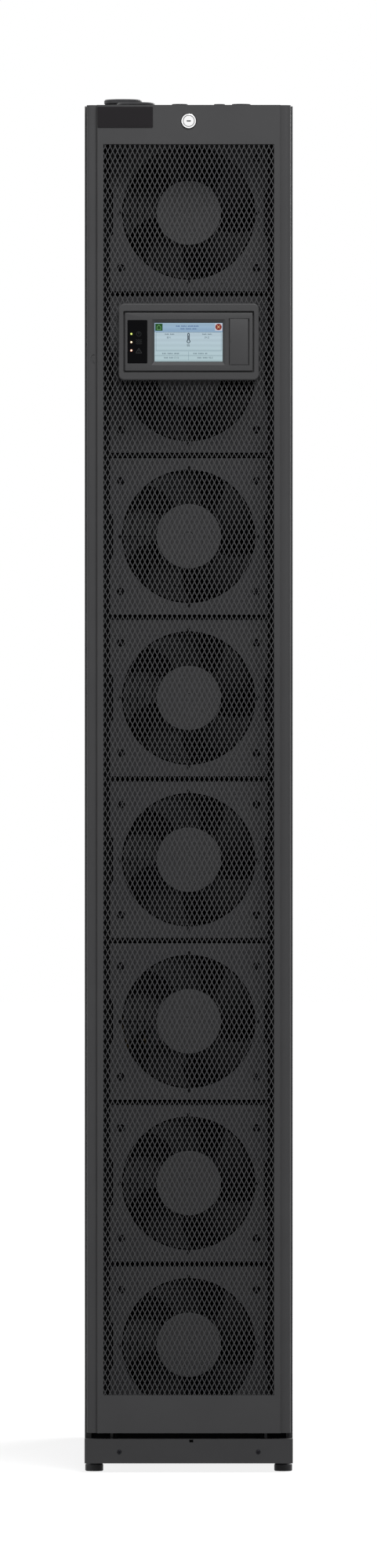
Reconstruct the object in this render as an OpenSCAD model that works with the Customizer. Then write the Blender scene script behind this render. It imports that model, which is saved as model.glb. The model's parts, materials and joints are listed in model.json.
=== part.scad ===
// In-row cooling unit for data-centre racks: a tall narrow chilled-water cabinet with eight axial fans
// behind a perforated front door. Millimetres, +Z up, the front faces -Y, the origin is on the floor
// under the middle of the cabinet.

/* [Cabinet] */
// Width over the side panels
cabinet_w = 300; // [290:1:320]
// Depth from the display bezel to the rear latch handle
cabinet_d = 1095; // [1060:5:1200]
// Thickness of the folded sheet steel
sheet_t = 1.5; // [1:0.1:2]
// Thickness of the frame steel
frame_t = 2; // [1.5:0.1:2.5]
// Height from the top of the fan stack to the roof
head_h = 35.6; // [32:0.1:60]
// Inward reach of the folded edges of the side panels
side_fold = 8; // [6:0.5:12]

/* [Base and feet] */
// Height of the base plate's top above the floor
base_top = 64; // [63:0.5:70]
// Height of the lower edge of the base skirt
skirt_z = 24; // [20:1:30]
// Diameter of a levelling foot's pad
foot_pad_d = 26; // [22:1:27]
// Height of a levelling foot's pad
foot_pad_h = 10.8; // [8:0.1:12]
// Diameter of a levelling foot's stem
foot_stem_d = 12; // [10:1:14]
// Distance from the cabinet's side to a foot's axis
foot_inset_x = 13.5; // [13.5:0.5:18]
// Distance from the frame's front or back to a foot's axis
foot_inset_y = 18; // [16:1:30]
// Diameter of a caster wheel
caster_d = 38; // [34:1:39]
// Width of a caster wheel
caster_w = 20; // [14:1:24]
// Gap between a caster wheel and the floor while the feet carry the cabinet
caster_lift = 14.2; // [14:0.1:15]
// Distance between a caster's swivel axis and its axle
caster_trail = 20; // [15:1:24]
// Distance between the left and right swivel axes
caster_spacing_x = 176; // [150:2:180]
// Distance from the front posts to the front caster swivels
caster_inset_front = 95; // [60:1:140]
// Distance from the rear posts to the rear caster swivels
caster_inset_rear = 109; // [60:1:140]
// Lower edge of the kick plate above the floor
kick_z0 = 13.7; // [12:0.1:16]
// Upper edge of the kick plate above the floor
kick_z1 = 49; // [44:0.5:49]
// Distance between the two kick plate screws
kick_screw_spacing = 200; // [160:5:200]

/* [Front door] */
// Depth of the front door
door_t = 39; // [34:1:44]
// Gap between a door and the frame behind it
door_gap = 2.5; // [2:0.1:4]
// Side gap between a door and the cabinet's side
door_reveal = 3; // [2:0.5:5]
// Lower edge of both doors above the floor
door_z0 = 57.4; // [56.5:0.1:60]
// Width of each stepped flank beside the raised middle of the door
flank_w = 14.7; // [12:0.1:18]
// Depth of the step between the raised middle and the flanks
flank_step = 6; // [3:0.5:8]
// Radius of the rolled outer edge of the door
door_edge_r = 7; // [4:0.5:10]
// Solid margin between the raised edge and the perforated opening
opening_margin_x = 9.45; // [8:0.05:14]
// Solid margin below the perforated opening
opening_margin_bottom = 54.7; // [40:0.1:80]
// Solid margin above the perforated opening
opening_margin_top = 56.6; // [50:0.1:80]
// Diameter of the door's hinge pins
door_pin_d = 8; // [6:0.5:9]
// Distance between the door's hinge ears
door_ear_spacing = 226; // [200:2:232]

/* [Perforated sheets] */
// Thickness of the perforated sheet
mesh_t = 1.2; // [1:0.1:2]
// Diamond columns across the sheet
mesh_columns = 7; // [5:1:9]
// Height of a diamond as a multiple of its width
mesh_aspect = 1.99; // [1.8:0.01:2.1]
// Width of a diamond as a share of the column pitch
mesh_open = 0.76; // [0.6:0.01:0.8]

/* [Fans] */
// Width of a fan panel
fan_panel_w = 227.5; // [224:0.5:230]
// Height of a fan panel
fan_panel_h = 225.8; // [220:0.1:230]
// Gap between two fan panels
fan_gap = 7.86; // [4:0.01:12]
// Distance from the door's face to the fan panels
fan_setback = 69.5; // [66:0.5:80]
// Bore of the fan's duct ring
fan_bore_d = 193; // [186:1:195]
// Depth of the duct ring
fan_ring_depth = 49; // [46:1:54]
// Diameter of the rotor hub
hub_d = 94; // [84:1:100]
// Gap between the blade tips and the duct ring
tip_gap = 2; // [1.5:0.1:4]
// Blades on each rotor
blade_count = 5; // [4:1:6]
// Angle that one blade covers
blade_arc = 43; // [36:1:44]
// Thickness of a blade
blade_t = 2.5; // [2:0.1:4]
// Sideways distance from the fan's axis to its corner screws
fan_screw_x = 98; // [96:0.5:98]
// Vertical distance from the fan's axis to its corner screws
fan_screw_z = 79.8; // [74:0.1:84]

/* [Display] */
// Width of the display housing
display_w = 202; // [196:1:210]
// Height of the display housing
display_h = 110.5; // [106:0.5:120]
// Distance from the roof down to the middle of the display
display_drop = 341.2; // [200:1:500]
// How far the display stands out of the door
display_proud = 8; // [7:0.5:12]
// Width of the bezel at each side of the display face
bezel_side = 9.1; // [8:0.1:12]
// Height of the bezel above and below the display face
bezel_band = 13.4; // [11:0.1:16]
// Display face left at each side of the screen
screen_side = 40.6; // [38:0.1:46]
// Display face left above and below the screen
screen_band = 9.7; // [8:0.1:14]
// Width of the service flap
flap_w = 27.5; // [24:0.1:28]
// Display face left above and below the service flap
flap_band = 8.7; // [8:0.1:14]

/* [Lock and plate] */
// Diameter of the lock's head
lock_d = 21; // [18:0.5:22]
// Distance from the roof down to the lock's axis
lock_drop = 23.2; // [21:0.1:28]
// Width of the bare name plate
plate_w = 79.7; // [60:0.1:90]
// Height of the bare name plate
plate_h = 30; // [20:0.5:34]

/* [Rear door] */
// Depth of the rear door
rear_door_t = 25; // [24:0.5:27]
// How far the rear latch handle stands out of the rear door
latch_proud = 8; // [6:0.5:10]
// Height of the rear latch above the floor
latch_z = 1000; // [800:10:1200]

/* [Roof entries] */
// Outer diameter of a pipe collar
collar_d = 55; // [50:1:58]
// Bore of a pipe collar
collar_bore_d = 38; // [30:1:42]
// Height of the front collar above the roof
front_collar_h = 11; // [8:0.5:16]
// Height of the rear collar above the roof
rear_collar_h = 19; // [14:0.5:26]
// Height of the cable grommets above the roof
grommet_h = 6; // [5:0.5:10]

/* [Coil and water circuit] */
// Depth of the cabinet left free for the fans, valve, pump and filters
coil_allowance = 635; // [625:1:675]
// Thickness of the coil
coil_t = 74; // [60:1:78]
// Distance from the side panels to the nearest corners of the coil
coil_side_gap = 17.77; // [12:0.01:24]
// Pitch of the coil's fin grooves
fin_pitch = 8; // [8:0.5:12]
// Outer diameter of the water pipes
pipe_d = 22; // [18:1:26]
// Outer diameter of the coil headers
header_d = 26; // [24:1:28]
// Depth of the drip pan
pan_h = 30; // [24:1:40]

/* [Hidden] */
$fn = 48;
fan_count = 8;

// Fits: radial running clearance, clearance between separate pieces, and clearance of moving pieces
run_fit = 0.05;
loose = 0.5;
sweep_gap = 1.5;
over = 1;

// Heights
fan_pitch = fan_panel_h + fan_gap;
stack_z0 = base_top + 0.6;
stack_top = stack_z0 + fan_count * fan_pitch;
cabinet_h = stack_top + head_h;
frame_top = cabinet_h - sheet_t;
opening_z0 = door_z0 + opening_margin_bottom;
opening_z1 = cabinet_h - opening_margin_top;
lock_z = cabinet_h - lock_drop;
display_z = cabinet_h - display_drop;

// Depths, from front to back
bezel_y = -cabinet_d / 2;
door_y = bezel_y + display_proud;
door_back_y = door_y + door_t;
frame_y0 = door_back_y + door_gap;
rear_face_y = cabinet_d / 2 - latch_proud;
rear_door_y = rear_face_y - rear_door_t;
frame_y1 = rear_door_y - door_gap;
post_y0 = frame_y0 + 3;
post_y1 = frame_y1 - 3;
panel_y = door_y + fan_setback;
ring_y0 = panel_y + frame_t;
ring_y1 = ring_y0 + fan_ring_depth;
front_post_d = 65;
rear_post_d = 40;
filter_t = 24;
filter_y = post_y1 - rear_post_d - filter_t - 6;

// Display
face_w = display_w - 2 * bezel_side;
face_h = display_h - 2 * bezel_band;
screen_w = face_w - 2 * screen_side;
screen_h = face_h - 2 * screen_band;
flap_h = face_h - 2 * flap_band;

// Widths
half_w = cabinet_w / 2;
side_in = half_w - sheet_t;
post_x1 = side_in - sheet_t;
post_x0 = post_x1 - 23;
door_half = half_w - door_reveal;
flat_half = door_half - flank_w;
opening_half = flat_half - opening_margin_x;
door_pin_y = door_y + 19.5;
door_pin_z = door_z0 - 5.6;
ear_half = door_ear_spacing / 2;
kick_y = door_y + 2.5;
foot_x = half_w - foot_inset_x;
foot_y0 = post_y0 + foot_inset_y;
foot_y1 = post_y1 - foot_inset_y;
caster_x = caster_spacing_x / 2;
caster_y0 = post_y0 + caster_inset_front;
caster_y1 = post_y1 - caster_inset_rear;
caster_z = caster_lift + caster_d / 2;
plate_t = 3;
foot_sites = [[-foot_x, foot_y0], [foot_x, foot_y0], [-foot_x, foot_y1], [foot_x, foot_y1]];
caster_sites = [[-caster_x, caster_y0], [caster_x, caster_y0], [-caster_x, caster_y1], [caster_x, caster_y1]];

// Fans
fan_r = fan_bore_d / 2;
ring_r = fan_r + 3.5;
hub_r = hub_d / 2;
hub_wall = 3;
hub_y0 = ring_y0;
hub_y1 = ring_y1 - 9;
arm_y0 = ring_y1 - 6;
shaft_r = 4;
function fan_z(i) = stack_top - (i - 0.5) * fan_pitch;

// A box between two corners
module box(lo, hi) { translate(lo) cube([for (k = [0:2]) hi[k] - lo[k]]); }
// Round bars along each axis
module x_bar(r, x0, x1, y, z) { translate([x0, y, z]) rotate([0, 90, 0]) cylinder(r = r, h = x1 - x0); }
module y_bar(r, y0, y1, x, z) { translate([x, y1, z]) rotate([90, 0, 0]) cylinder(r = r, h = y1 - y0); }
module z_bar(r, z0, z1, x, y) { translate([x, y, z0]) cylinder(r = r, h = z1 - z0); }
// A flat shape drawn as seen from the front, from depth y0 to depth y1
module front_plate(y0, y1) {
    translate([0, y1, 0]) rotate([90, 0, 0]) linear_extrude(y1 - y0) children();
}
module both_sides() { children(); mirror([1, 0, 0]) children(); }
module centred_rect(w, h, r = 0) {
    if (r > 0) {
        square([w - 2 * r, h], center = true);
        square([w, h - 2 * r], center = true);
        for (x = [-1, 1], z = [-1, 1]) translate([x * (w / 2 - r), z * (h / 2 - r)]) circle(r = r);
    } else square([w, h], center = true);
}

// ---- Base ----
module foot_boss_at(p) { z_bar(foot_stem_d / 2 + 4, skirt_z + 6, base_top - plate_t, p[0], p[1]); }
module base_frame() color("#2c2d2f") {
    boss_z = base_top - plate_t - 4;
    difference() {
        union() {
            box([-post_x1, post_y0, base_top - plate_t], [post_x1, post_y1, base_top]);
            both_sides()
                box([post_x1 - frame_t, post_y0, skirt_z], [post_x1, post_y1, base_top]);
            box([-post_x1, post_y0, skirt_z], [post_x1, post_y0 + frame_t, base_top]);
            box([-post_x1, post_y1 - frame_t, skirt_z], [post_x1, post_y1, base_top]);
            for (p = foot_sites) foot_boss_at(p);
            for (p = caster_sites) z_bar(15, boss_z, base_top - plate_t, p[0], p[1]);
            // tabs that carry the kick plate
            both_sides() box([kick_screw_spacing / 2 - 9, kick_y + sheet_t, skirt_z],
                             [kick_screw_spacing / 2 + 6, post_y0 + over, kick_z1 - 8]);
            // brackets and pins that the front door tilts on
            both_sides() {
                box([ear_half - 9.5, door_pin_y - 6, door_pin_z - 6],
                    [ear_half - 6, post_y0 + over, door_pin_z + 3.7]);
                x_bar(door_pin_d / 2, ear_half - 8, ear_half + 4, door_pin_y, door_pin_z);
            }
        }
        for (p = foot_sites)
            z_bar(foot_stem_d / 2 + run_fit, skirt_z, base_top + over, p[0], p[1]);
        for (p = caster_sites) z_bar(6 + run_fit, boss_z - over, base_top + over, p[0], p[1]);
        both_sides() y_bar(2.1, kick_y, post_y0 + 5, kick_screw_spacing / 2,
                           (kick_z0 + kick_z1) / 2 - 1);
    }
}

module kick_plate() color("#3f4042") {
    difference() {
        box([-half_w, kick_y, kick_z0], [half_w, frame_y0 - 1, kick_z1]);
        box([-side_in, kick_y + sheet_t, kick_z0 - over], [side_in, frame_y0, kick_z1 - sheet_t]);
        box([-side_in, kick_y + 25, kick_z1 - 5], [side_in, frame_y0, kick_z1 + over]);
        both_sides() box([ear_half - 11, kick_y + 4, kick_z1 - 5],
                         [ear_half + 7, frame_y0, kick_z1 + over]);
        both_sides() y_bar(2.1, kick_y - over, kick_y + 5, kick_screw_spacing / 2,
                           (kick_z0 + kick_z1) / 2 - 1);
        // finger notch in the middle of the top edge
        z_bar(3, kick_z1 - 5, kick_z1 + over, 3.6, kick_y);
    }
}

module levelling_foot(i) color("#3c3c3e") {
    p = foot_sites[i - 1];
    translate([p[0], p[1], 0]) {
        rotate_extrude() polygon([[0, 0], [foot_pad_d / 2 - 1, 0], [foot_pad_d / 2, 1],
                                  [foot_pad_d / 2, foot_pad_h - 1.5], [foot_pad_d / 2 - 1.5, foot_pad_h],
                                  [0, foot_pad_h]]);
        translate([0, 0, foot_pad_h]) cylinder(d = 18 * 1.1547, h = 4, $fn = 6);
        cylinder(r = foot_stem_d / 2, h = base_top - 1);
        translate([0, 0, skirt_z - 2]) rotate([0, 0, 30]) cylinder(d = 16 * 1.1547, h = 7.5, $fn = 6);
    }
}

module caster_fork(i) color("#9a9c9e") {
    p = caster_sites[i - 1];
    cheek = caster_w / 2 + 1.5;
    top = caster_z + caster_d / 2 + 1.3;
    translate([p[0], p[1], 0]) {
        z_bar(13, top, top + 2.2, 0, 0);
        z_bar(6, top, base_top - 0.5, 0, 0);
        box([-cheek - 2, -2, top], [cheek + 2, caster_trail + 6, top + 2.2]);
        both_sides() difference() {
            union() {
                box([cheek, caster_trail - 8, caster_z], [cheek + 2, caster_trail + 6, top + 1]);
                x_bar(7, cheek, cheek + 2, caster_trail - 1, caster_z);
            }
        }
        x_bar(4, -cheek - 2, cheek + 2, caster_trail, caster_z);
    }
}

module caster_wheel(i) color("#26272a") {
    p = caster_sites[i - 1];
    r = caster_d / 2;
    h = caster_w / 2;
    translate([p[0], p[1] + caster_trail, caster_z]) rotate([0, 90, 0])
        rotate_extrude() polygon([[4 + run_fit, -h], [8, -h], [9, -h + 2], [r - 5, -h + 2], [r - 2, -h],
                                  [r, -h + 4], [r, h - 4], [r - 2, h], [r - 5, h - 2], [9, h - 2],
                                  [8, h], [4 + run_fit, h]]);
}

// ---- Cabinet ----
module c_post(x0, x1, y0, y1) {
    box([x1 - frame_t, y0, base_top], [x1, y1, frame_top]);
    box([x0, y0, base_top], [x1, y0 + frame_t, frame_top]);
    box([x0, y1 - frame_t, base_top], [x1, y1, frame_top]);
}
joining_y = [post_y0 + 45, post_y1 - 19];
joining_z = [cabinet_h / 2 - 600, cabinet_h / 2 + 600];
module joining_holes() {
    for (y = joining_y, z = joining_z) x_bar(3.3, -half_w - over, -post_x0, y, z);
    for (y = joining_y, z = joining_z) x_bar(3.3, post_x0, half_w + over, y, z);
}
keeper_z = lock_z + 9;
module cabinet_frame() color("#1d1e20") difference() {
    union() {
        both_sides() {
            c_post(post_x0, post_x1, post_y0, post_y0 + front_post_d);
            c_post(post_x0, post_x1, post_y1 - rear_post_d, post_y1);
            // flange that the fan panels screw to
            box([fan_screw_x + 8, panel_y + sheet_t + 0.5, base_top],
                [post_x1, panel_y + sheet_t + 0.5 + frame_t, frame_top]);
            // top rail and two braces
            box([post_x1 - 18, post_y0 + front_post_d, frame_top - frame_t],
                [post_x1, post_y1 - rear_post_d, frame_top]);
            for (z = [650, 1300, frame_top - 25])
                box([post_x1 - frame_t, post_y0 + front_post_d - over, z],
                    [post_x1, post_y1 - rear_post_d + over, z + 25]);
        }
        // front and rear cross rails, and the lock's keeper
        box([-post_x1, ring_y0 + 4, stack_top + 2], [post_x1, ring_y0 + 4 + frame_t, frame_top]);
        box([-30, post_y0, frame_top - frame_t], [30, ring_y0 + 5, frame_top]);
        box([-30, post_y0, keeper_z], [30, post_y0 + sheet_t, frame_top]);
        box([-post_x1, post_y1 - frame_t, frame_top - 20], [post_x1, post_y1, frame_top]);
        box([-post_x1, post_y1 - 18, frame_top - frame_t], [post_x1, post_y1, frame_top]);
    }
    joining_holes();
    for (s = roof_screws) z_bar(2.1, frame_top - 5, frame_top + over, s[0], frame_y0 + s[1]);
}

module side_panel() {
    difference() {
        union() {
            box([side_in, frame_y0, skirt_z], [half_w, frame_y1, frame_top]);
            for (y = [[frame_y0, frame_y0 + sheet_t], [frame_y1 - sheet_t, frame_y1]])
                box([side_in - side_fold, y[0], skirt_z], [half_w, y[1], frame_top]);
            // pressed stiffening beads stand in towards the frame
            for (k = [1:5]) box([side_in - 1.2, post_y0 + 100, 320 * k], [side_in + 0.5, post_y1 - 70, 320 * k + 14]);
        }
        for (k = [1:5]) box([half_w - 1.2, post_y0 + 102, 320 * k + 2], [half_w + over, post_y1 - 72, 320 * k + 12]);
        joining_holes();
        // slot for the rear door's bracket
        box([side_in - side_fold - over, frame_y1 - sheet_t - over, door_z0 - 12.5],
            [post_x1 + 0.5, frame_y1 + over, door_z0 - 6.5]);
    }
}
module right_side_panel() color("#47484a") side_panel();
module left_side_panel() color("#47484a") mirror([1, 0, 0]) side_panel();

front_collar = [-half_w + 73.5, frame_y0 + 118];
rear_collar = [-half_w + 54.3, frame_y0 + 188];
grommets = [[-13, frame_y0 + 58, 13], [44.5, frame_y0 + 58, 9.5], [76, frame_y0 + 58, 15]];
roof_screws = [[-40, 58], [27.5, 58], [-130, 30], [130, 30], [-130, 900], [130, 900]];
module roof_panel() color("#47484a") difference() {
    union() {
        box([-half_w, frame_y0, frame_top], [half_w, frame_y1, cabinet_h]);
        box([-post_x1 + side_fold, frame_y0, frame_top - 12], [post_x1 - side_fold, frame_y0 + sheet_t, cabinet_h]);
        box([-post_x1 + side_fold, frame_y1 - sheet_t, frame_top - 12],
            [post_x1 - side_fold, frame_y1, cabinet_h]);
    }
    for (p = [front_collar, rear_collar])
        z_bar(collar_bore_d / 2 + 2, frame_top - over, cabinet_h + over, p[0], p[1]);
    for (g = grommets) z_bar(g[2] - 3.5, frame_top - over, cabinet_h + over, g[0], g[1]);
    for (s = roof_screws) z_bar(2.1, frame_top - over, cabinet_h + over, s[0], frame_y0 + s[1]);
}

module collar(p, h) {
    r = collar_d / 2;
    b = collar_bore_d / 2;
    translate([p[0], p[1], cabinet_h]) rotate_extrude()
        polygon([[b, -10], [b + 2, -10], [b + 2, 0], [r, 0], [r, h * 0.35], [r - 2, h * 0.45],
                 [r - 2, h * 0.6], [r, h * 0.7], [r, h - 1.5], [r - 1.5, h], [b, h]]);
}
module pipe_collars() color("#3b3c3e") { collar(front_collar, front_collar_h); collar(rear_collar, rear_collar_h); }

module cable_grommets() color("#1a1a1c") for (g = grommets)
    translate([g[0], g[1], cabinet_h]) rotate_extrude()
        polygon([[g[2] - 5.5, -6], [g[2] - 3.5, -6], [g[2] - 3.5, 0], [g[2], 0], [g[2], grommet_h - 2],
                 [g[2] - 2, grommet_h], [g[2] - 5.5, grommet_h]]);

// ---- Fans ----
module panel_outline() {
    notch_h = 70;
    notch_d = 4.5;
    w = fan_panel_w / 2;
    h = fan_panel_h / 2;
    polygon([[-w, -h], [w, -h], [w, -notch_h / 2], [w - notch_d, -notch_h / 2 + 4],
             [w - notch_d, notch_h / 2 - 4], [w, notch_h / 2], [w, h], [-w, h], [-w, notch_h / 2],
             [-w + notch_d, notch_h / 2 - 4], [-w + notch_d, -notch_h / 2 + 4], [-w, -notch_h / 2]]);
}
module fan_panel(i) color("#4a4b4d") translate([0, 0, fan_z(i)]) {
    front_plate(panel_y, panel_y + frame_t) difference() {
        panel_outline();
        circle(r = fan_r);
        for (x = [-1, 1], z = [-1, 1]) translate([x * fan_screw_x, z * fan_screw_z]) circle(d = 11.5);
    }
    for (s = [-1, 1]) {
        edge = s * (fan_panel_h / 2 - 1);
        box([-fan_screw_x - 5, panel_y, edge - 1], [fan_screw_x + 5, panel_y + 16, edge + 1]);
    }
}

module fan_housing() {
    ear_r = 7;
    difference() {
        union() {
            y_bar(ring_r, ring_y0, ring_y1, 0, 0);
            for (x = [-1, 1], z = [-1, 1]) {
                y_bar(ear_r, ring_y0, ring_y0 + 8, x * fan_screw_x, z * fan_screw_z);
                rotate([0, -z * x * atan(fan_screw_z / fan_screw_x), 0]) mirror([x < 0 ? 1 : 0, 0, 0])
                    box([ring_r - 3, ring_y0, -5], [norm([fan_screw_x, fan_screw_z]), ring_y0 + 8, 5]);
            }
        }
        y_bar(fan_r, ring_y0 - over, ring_y1 + over, 0, 0);
        for (x = [-1, 1], z = [-1, 1])
            y_bar(2.1, ring_y0 - over, ring_y0 + 9, x * fan_screw_x, z * fan_screw_z);
    }
    // motor stator on four arms
    difference() {
        union() {
            y_bar(hub_r - hub_wall - 2, hub_y0 + hub_wall + 3, ring_y1, 0, 0);
            for (a = [45:90:315]) rotate([0, a, 0]) box([hub_r - 8, arm_y0, -4], [fan_r + 1, ring_y1, 4]);
        }
        y_bar(shaft_r + run_fit, hub_y0, ring_y1 + over, 0, 0);
    }
}
module fan_guard() {
    wire = 0.8;
    for (k = [0:3]) translate([0, panel_y - wire, 0]) rotate([90, 0, 0]) rotate_extrude()
        translate([hub_r + 3 + 10.3 * (k + 0.35), 0]) circle(r = wire, $fn = 16);
    for (a = [0:90:270]) rotate([0, a, 0]) {
        box([hub_r + 4, panel_y - 1.4, -0.9], [fan_r + 2, panel_y - 0.2, 0.9]);
        box([fan_r + 1, panel_y - 1.4, -2], [fan_r + 5, panel_y, 2]);
    }
}
module fan_housings() color("#27282a") for (i = [1:fan_count]) translate([0, 0, fan_z(i)]) {
    fan_housing();
    fan_guard();
}

// One blade is a piece of a cambered sheet, cut to a swept outline as seen from the front.
blade_pitch = 30;
camber_r = 90;
blade_mid_y = hub_y0 + 13;
tip_r = fan_r - tip_gap;
function sweep_at(r) = 14 * pow((r - hub_r) / hub_r, 1.5);
function blade_edge(r, side) = let (a = side * blade_arc / 2 + sweep_at(max(r, hub_r))) [r * cos(a), r * sin(a)];
module blade_outline() {
    steps = 5;
    root = hub_r - 1.5;
    polygon(concat([for (k = [0:steps]) blade_edge(root + (tip_r - root) * k / steps, -1)],
                   [for (k = [1:steps - 1]) let (a = blade_arc * (k / steps - 0.5) + sweep_at(tip_r))
                       [tip_r * cos(a), tip_r * sin(a)]],
                   [for (k = [steps:-1:0]) blade_edge(root + (tip_r - root) * k / steps, 1)]));
}
module blade() intersection() {
    front_plate(hub_y0, hub_y1 - 2) blade_outline();
    translate([0, blade_mid_y + camber_r * cos(blade_pitch), camber_r * sin(blade_pitch)])
        rotate([0, 90, 0]) difference() {
            cylinder(r = camber_r, h = fan_r, $fn = 96);
            cylinder(r = camber_r - blade_t, h = fan_r, $fn = 96);
        }
}
first_blade = 21;
module fan_rotor(i) color("#3a3b3d") translate([0, 0, fan_z(i)]) {
    difference() {
        y_bar(hub_r, hub_y0, hub_y1, 0, 0);
        y_bar(hub_r - hub_wall, hub_y0 + hub_wall, hub_y1 + over, 0, 0);
    }
    y_bar(shaft_r, hub_y0 + over, ring_y1 - 4, 0, 0);
    for (k = [0:blade_count - 1]) rotate([0, -first_blade - 360 / blade_count * k, 0]) blade();
}

// ---- Coil and water circuit ----
pump_l = 100;
pump_w = 104;
pump_h = 90;
pump_wall = 4;
pump_x = -62;
pump_motor_r = 28;
pump_motor_h = 50;
pump_y = filter_y - pump_l - 29;
pan_y = pump_y - 60;
coil_len = cabinet_d - coil_allowance;
coil_slant = atan2(coil_t, coil_len) + acos(2 * (side_in - coil_side_gap) / norm([coil_len, coil_t]));
pan_half = post_x1 - 4;
pan_z1 = base_top + pan_h;
spout_x = -60;
spout_z = base_top + 12;
coil_z0 = pan_z1 + 12;
coil_z1 = stack_top - 30;
coil_end = coil_len / 2;
end_plate_t = 4;
fin_t = 2.5;
module on_coil() { rotate([0, 0, coil_slant]) children(); }
module coil_core() color("#b7babd") on_coil() translate([0, 0, coil_z0 + end_plate_t])
    linear_extrude(coil_z1 - coil_z0 - 2 * end_plate_t) difference() {
        square([coil_len - 2 * end_plate_t, coil_t], center = true);
        for (x = [-coil_end + 12:fin_pitch:coil_end - 12], s = [-1, 1])
            translate([x, s * coil_t / 2]) square([fin_pitch - fin_t, coil_t - 10], center = true);
    }

header_sites = [[-coil_end - 22, 17], [-coil_end - 22, -17]];
function from_coil(p) = [p[0] * cos(coil_slant) - p[1] * sin(coil_slant),
                         p[0] * sin(coil_slant) + p[1] * cos(coil_slant)];
bend_pitch = (coil_z1 - coil_z0 - 120) / 8;
module coil_headers() color("#b87348") on_coil() {
    // casing of end, top and bottom plates, standing in the drip pan
    for (s = [-1, 1]) box([s > 0 ? coil_end - end_plate_t : -coil_end, -coil_t / 2 - 3, base_top + sheet_t],
                          [s > 0 ? coil_end : -coil_end + end_plate_t, coil_t / 2 + 3, coil_z1]);
    for (z = [coil_z0, coil_z1 - end_plate_t])
        box([-coil_end, -coil_t / 2, z], [coil_end, coil_t / 2, z + end_plate_t]);
    for (h = header_sites) z_bar(header_d / 2, coil_z0, coil_z1, h[0], h[1]);
    for (k = [0:8]) {
        z = coil_z0 + 60 + bend_pitch * k;
        for (h = header_sites) x_bar(6, h[0], -coil_end + 1, h[1], z);
        // return bends at the far end
        for (y = [-17, 17]) translate([coil_end - 1, y, z]) rotate([90, 0, 0])
            rotate([0, 0, -90]) half_bend(9, 6);
    }
}
module half_bend(r, tube_r) { rotate_extrude(angle = 180) translate([r, 0]) circle(r = tube_r, $fn = 24); }

module drip_pan() color("#8f9396") {
    difference() {
        box([-pan_half, -pan_y, base_top], [pan_half, pan_y, pan_z1]);
        box([-pan_half + sheet_t, -pan_y + sheet_t, base_top + sheet_t],
            [pan_half - sheet_t, pan_y - sheet_t, pan_z1 + over]);
        y_bar(6, pan_y - 5, pan_y + over, spout_x, spout_z);
    }
    difference() {
        y_bar(8, pan_y - sheet_t, pump_y - 12, spout_x, spout_z);
        y_bar(6, pan_y - 5, pump_y - 11, spout_x, spout_z);
    }
}

module condensate_pump() color("#2f5f8f") {
    difference() {
        box([pump_x - pump_w / 2, pump_y, base_top], [pump_x + pump_w / 2, pump_y + pump_l, base_top + pump_h]);
        box([pump_x - pump_w / 2 + pump_wall, pump_y + pump_wall, base_top + pump_wall],
            [pump_x + pump_w / 2 - pump_wall, pump_y + pump_l - pump_wall, base_top + pump_h - pump_wall]);
    }
    translate([pump_x, pump_y + pump_l / 2, base_top + pump_h]) {
        z_bar(pump_motor_r, 0, pump_motor_h, 0, 0);
        z_bar(pump_motor_r + 3, pump_motor_h, pump_motor_h + 6, 0, 0);
    }
    // inlet from the pan and discharge barb
    y_bar(8, pump_y - 12, pump_y + 1, spout_x, spout_z);
    translate([pump_x + pump_w / 2 - 12, pump_y + 20, base_top + pump_h]) {
        z_bar(6, -1, 22, 0, 0);
        z_bar(7.5, 12, 15, 0, 0);
    }
}

valve_z = 620;
union_z = cabinet_h - 95;
valve_xy = rear_collar;
module control_valve() color("#b59443") translate([valve_xy[0], valve_xy[1], valve_z]) {
    z_bar(18, -26, 26, 0, 0);
    z_bar(22, 20, 32, 0, 0);
    z_bar(22, -32, -20, 0, 0);
    y_bar(16, 0, 34, 0, 0);
    x_bar(14, 0, 34, 0, 0);
}
module valve_actuator() color("#c9cbcd") translate([valve_xy[0] + 34, valve_xy[1], valve_z]) {
    x_bar(20, 0, 8, 0, 0);
    difference() {
        box([8, -28, -38], [58, 28, 52]);
        box([20, -30, 44], [60, 30, 54]);
    }
    x_bar(9, 58, 64, 0, -14);
}

module pipe_run(points) {
    r = pipe_d / 2;
    for (k = [0:len(points) - 2]) {
        a = points[k];
        d = points[k + 1] - a;
        translate(a) rotate([0, acos(d[2] / norm(d)), atan2(d[1], d[0])]) cylinder(r = r, h = norm(d));
    }
    // soldered elbows are a little fatter than the pipe
    for (k = [1:1:len(points) - 2]) translate(points[k]) sphere(r = r + 2.5);
}
module pipe_union(p) {
    translate([p[0], p[1], union_z]) {
        cylinder(d = pipe_d + 12, h = 24, $fn = 6);
        translate([0, 0, 24]) cylinder(d = pipe_d + 8, h = 10);
    }
}
module water_pipes() color("#b8794d") {
    h0 = from_coil(header_sites[0]);
    h1 = from_coil(header_sites[1]);
    low = 300;
    r = pipe_d / 2;
    difference() {
        union() {
            pipe_run([[front_collar[0], front_collar[1], union_z], [front_collar[0], front_collar[1], low],
                      [h0[0], h0[1], low]]);
            pipe_run([[rear_collar[0], rear_collar[1], union_z], [rear_collar[0], rear_collar[1], valve_z + 32]]);
            pipe_run([[valve_xy[0], valve_xy[1], valve_z - 32], [valve_xy[0], valve_xy[1], valve_z - 90],
                      [h1[0], h1[1], valve_z - 90]]);
            pipe_union(front_collar);
            pipe_union(rear_collar);
        }
        for (h = [h0, h1]) z_bar(header_d / 2, coil_z0, coil_z1, h[0], h[1]);
    }
}

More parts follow.
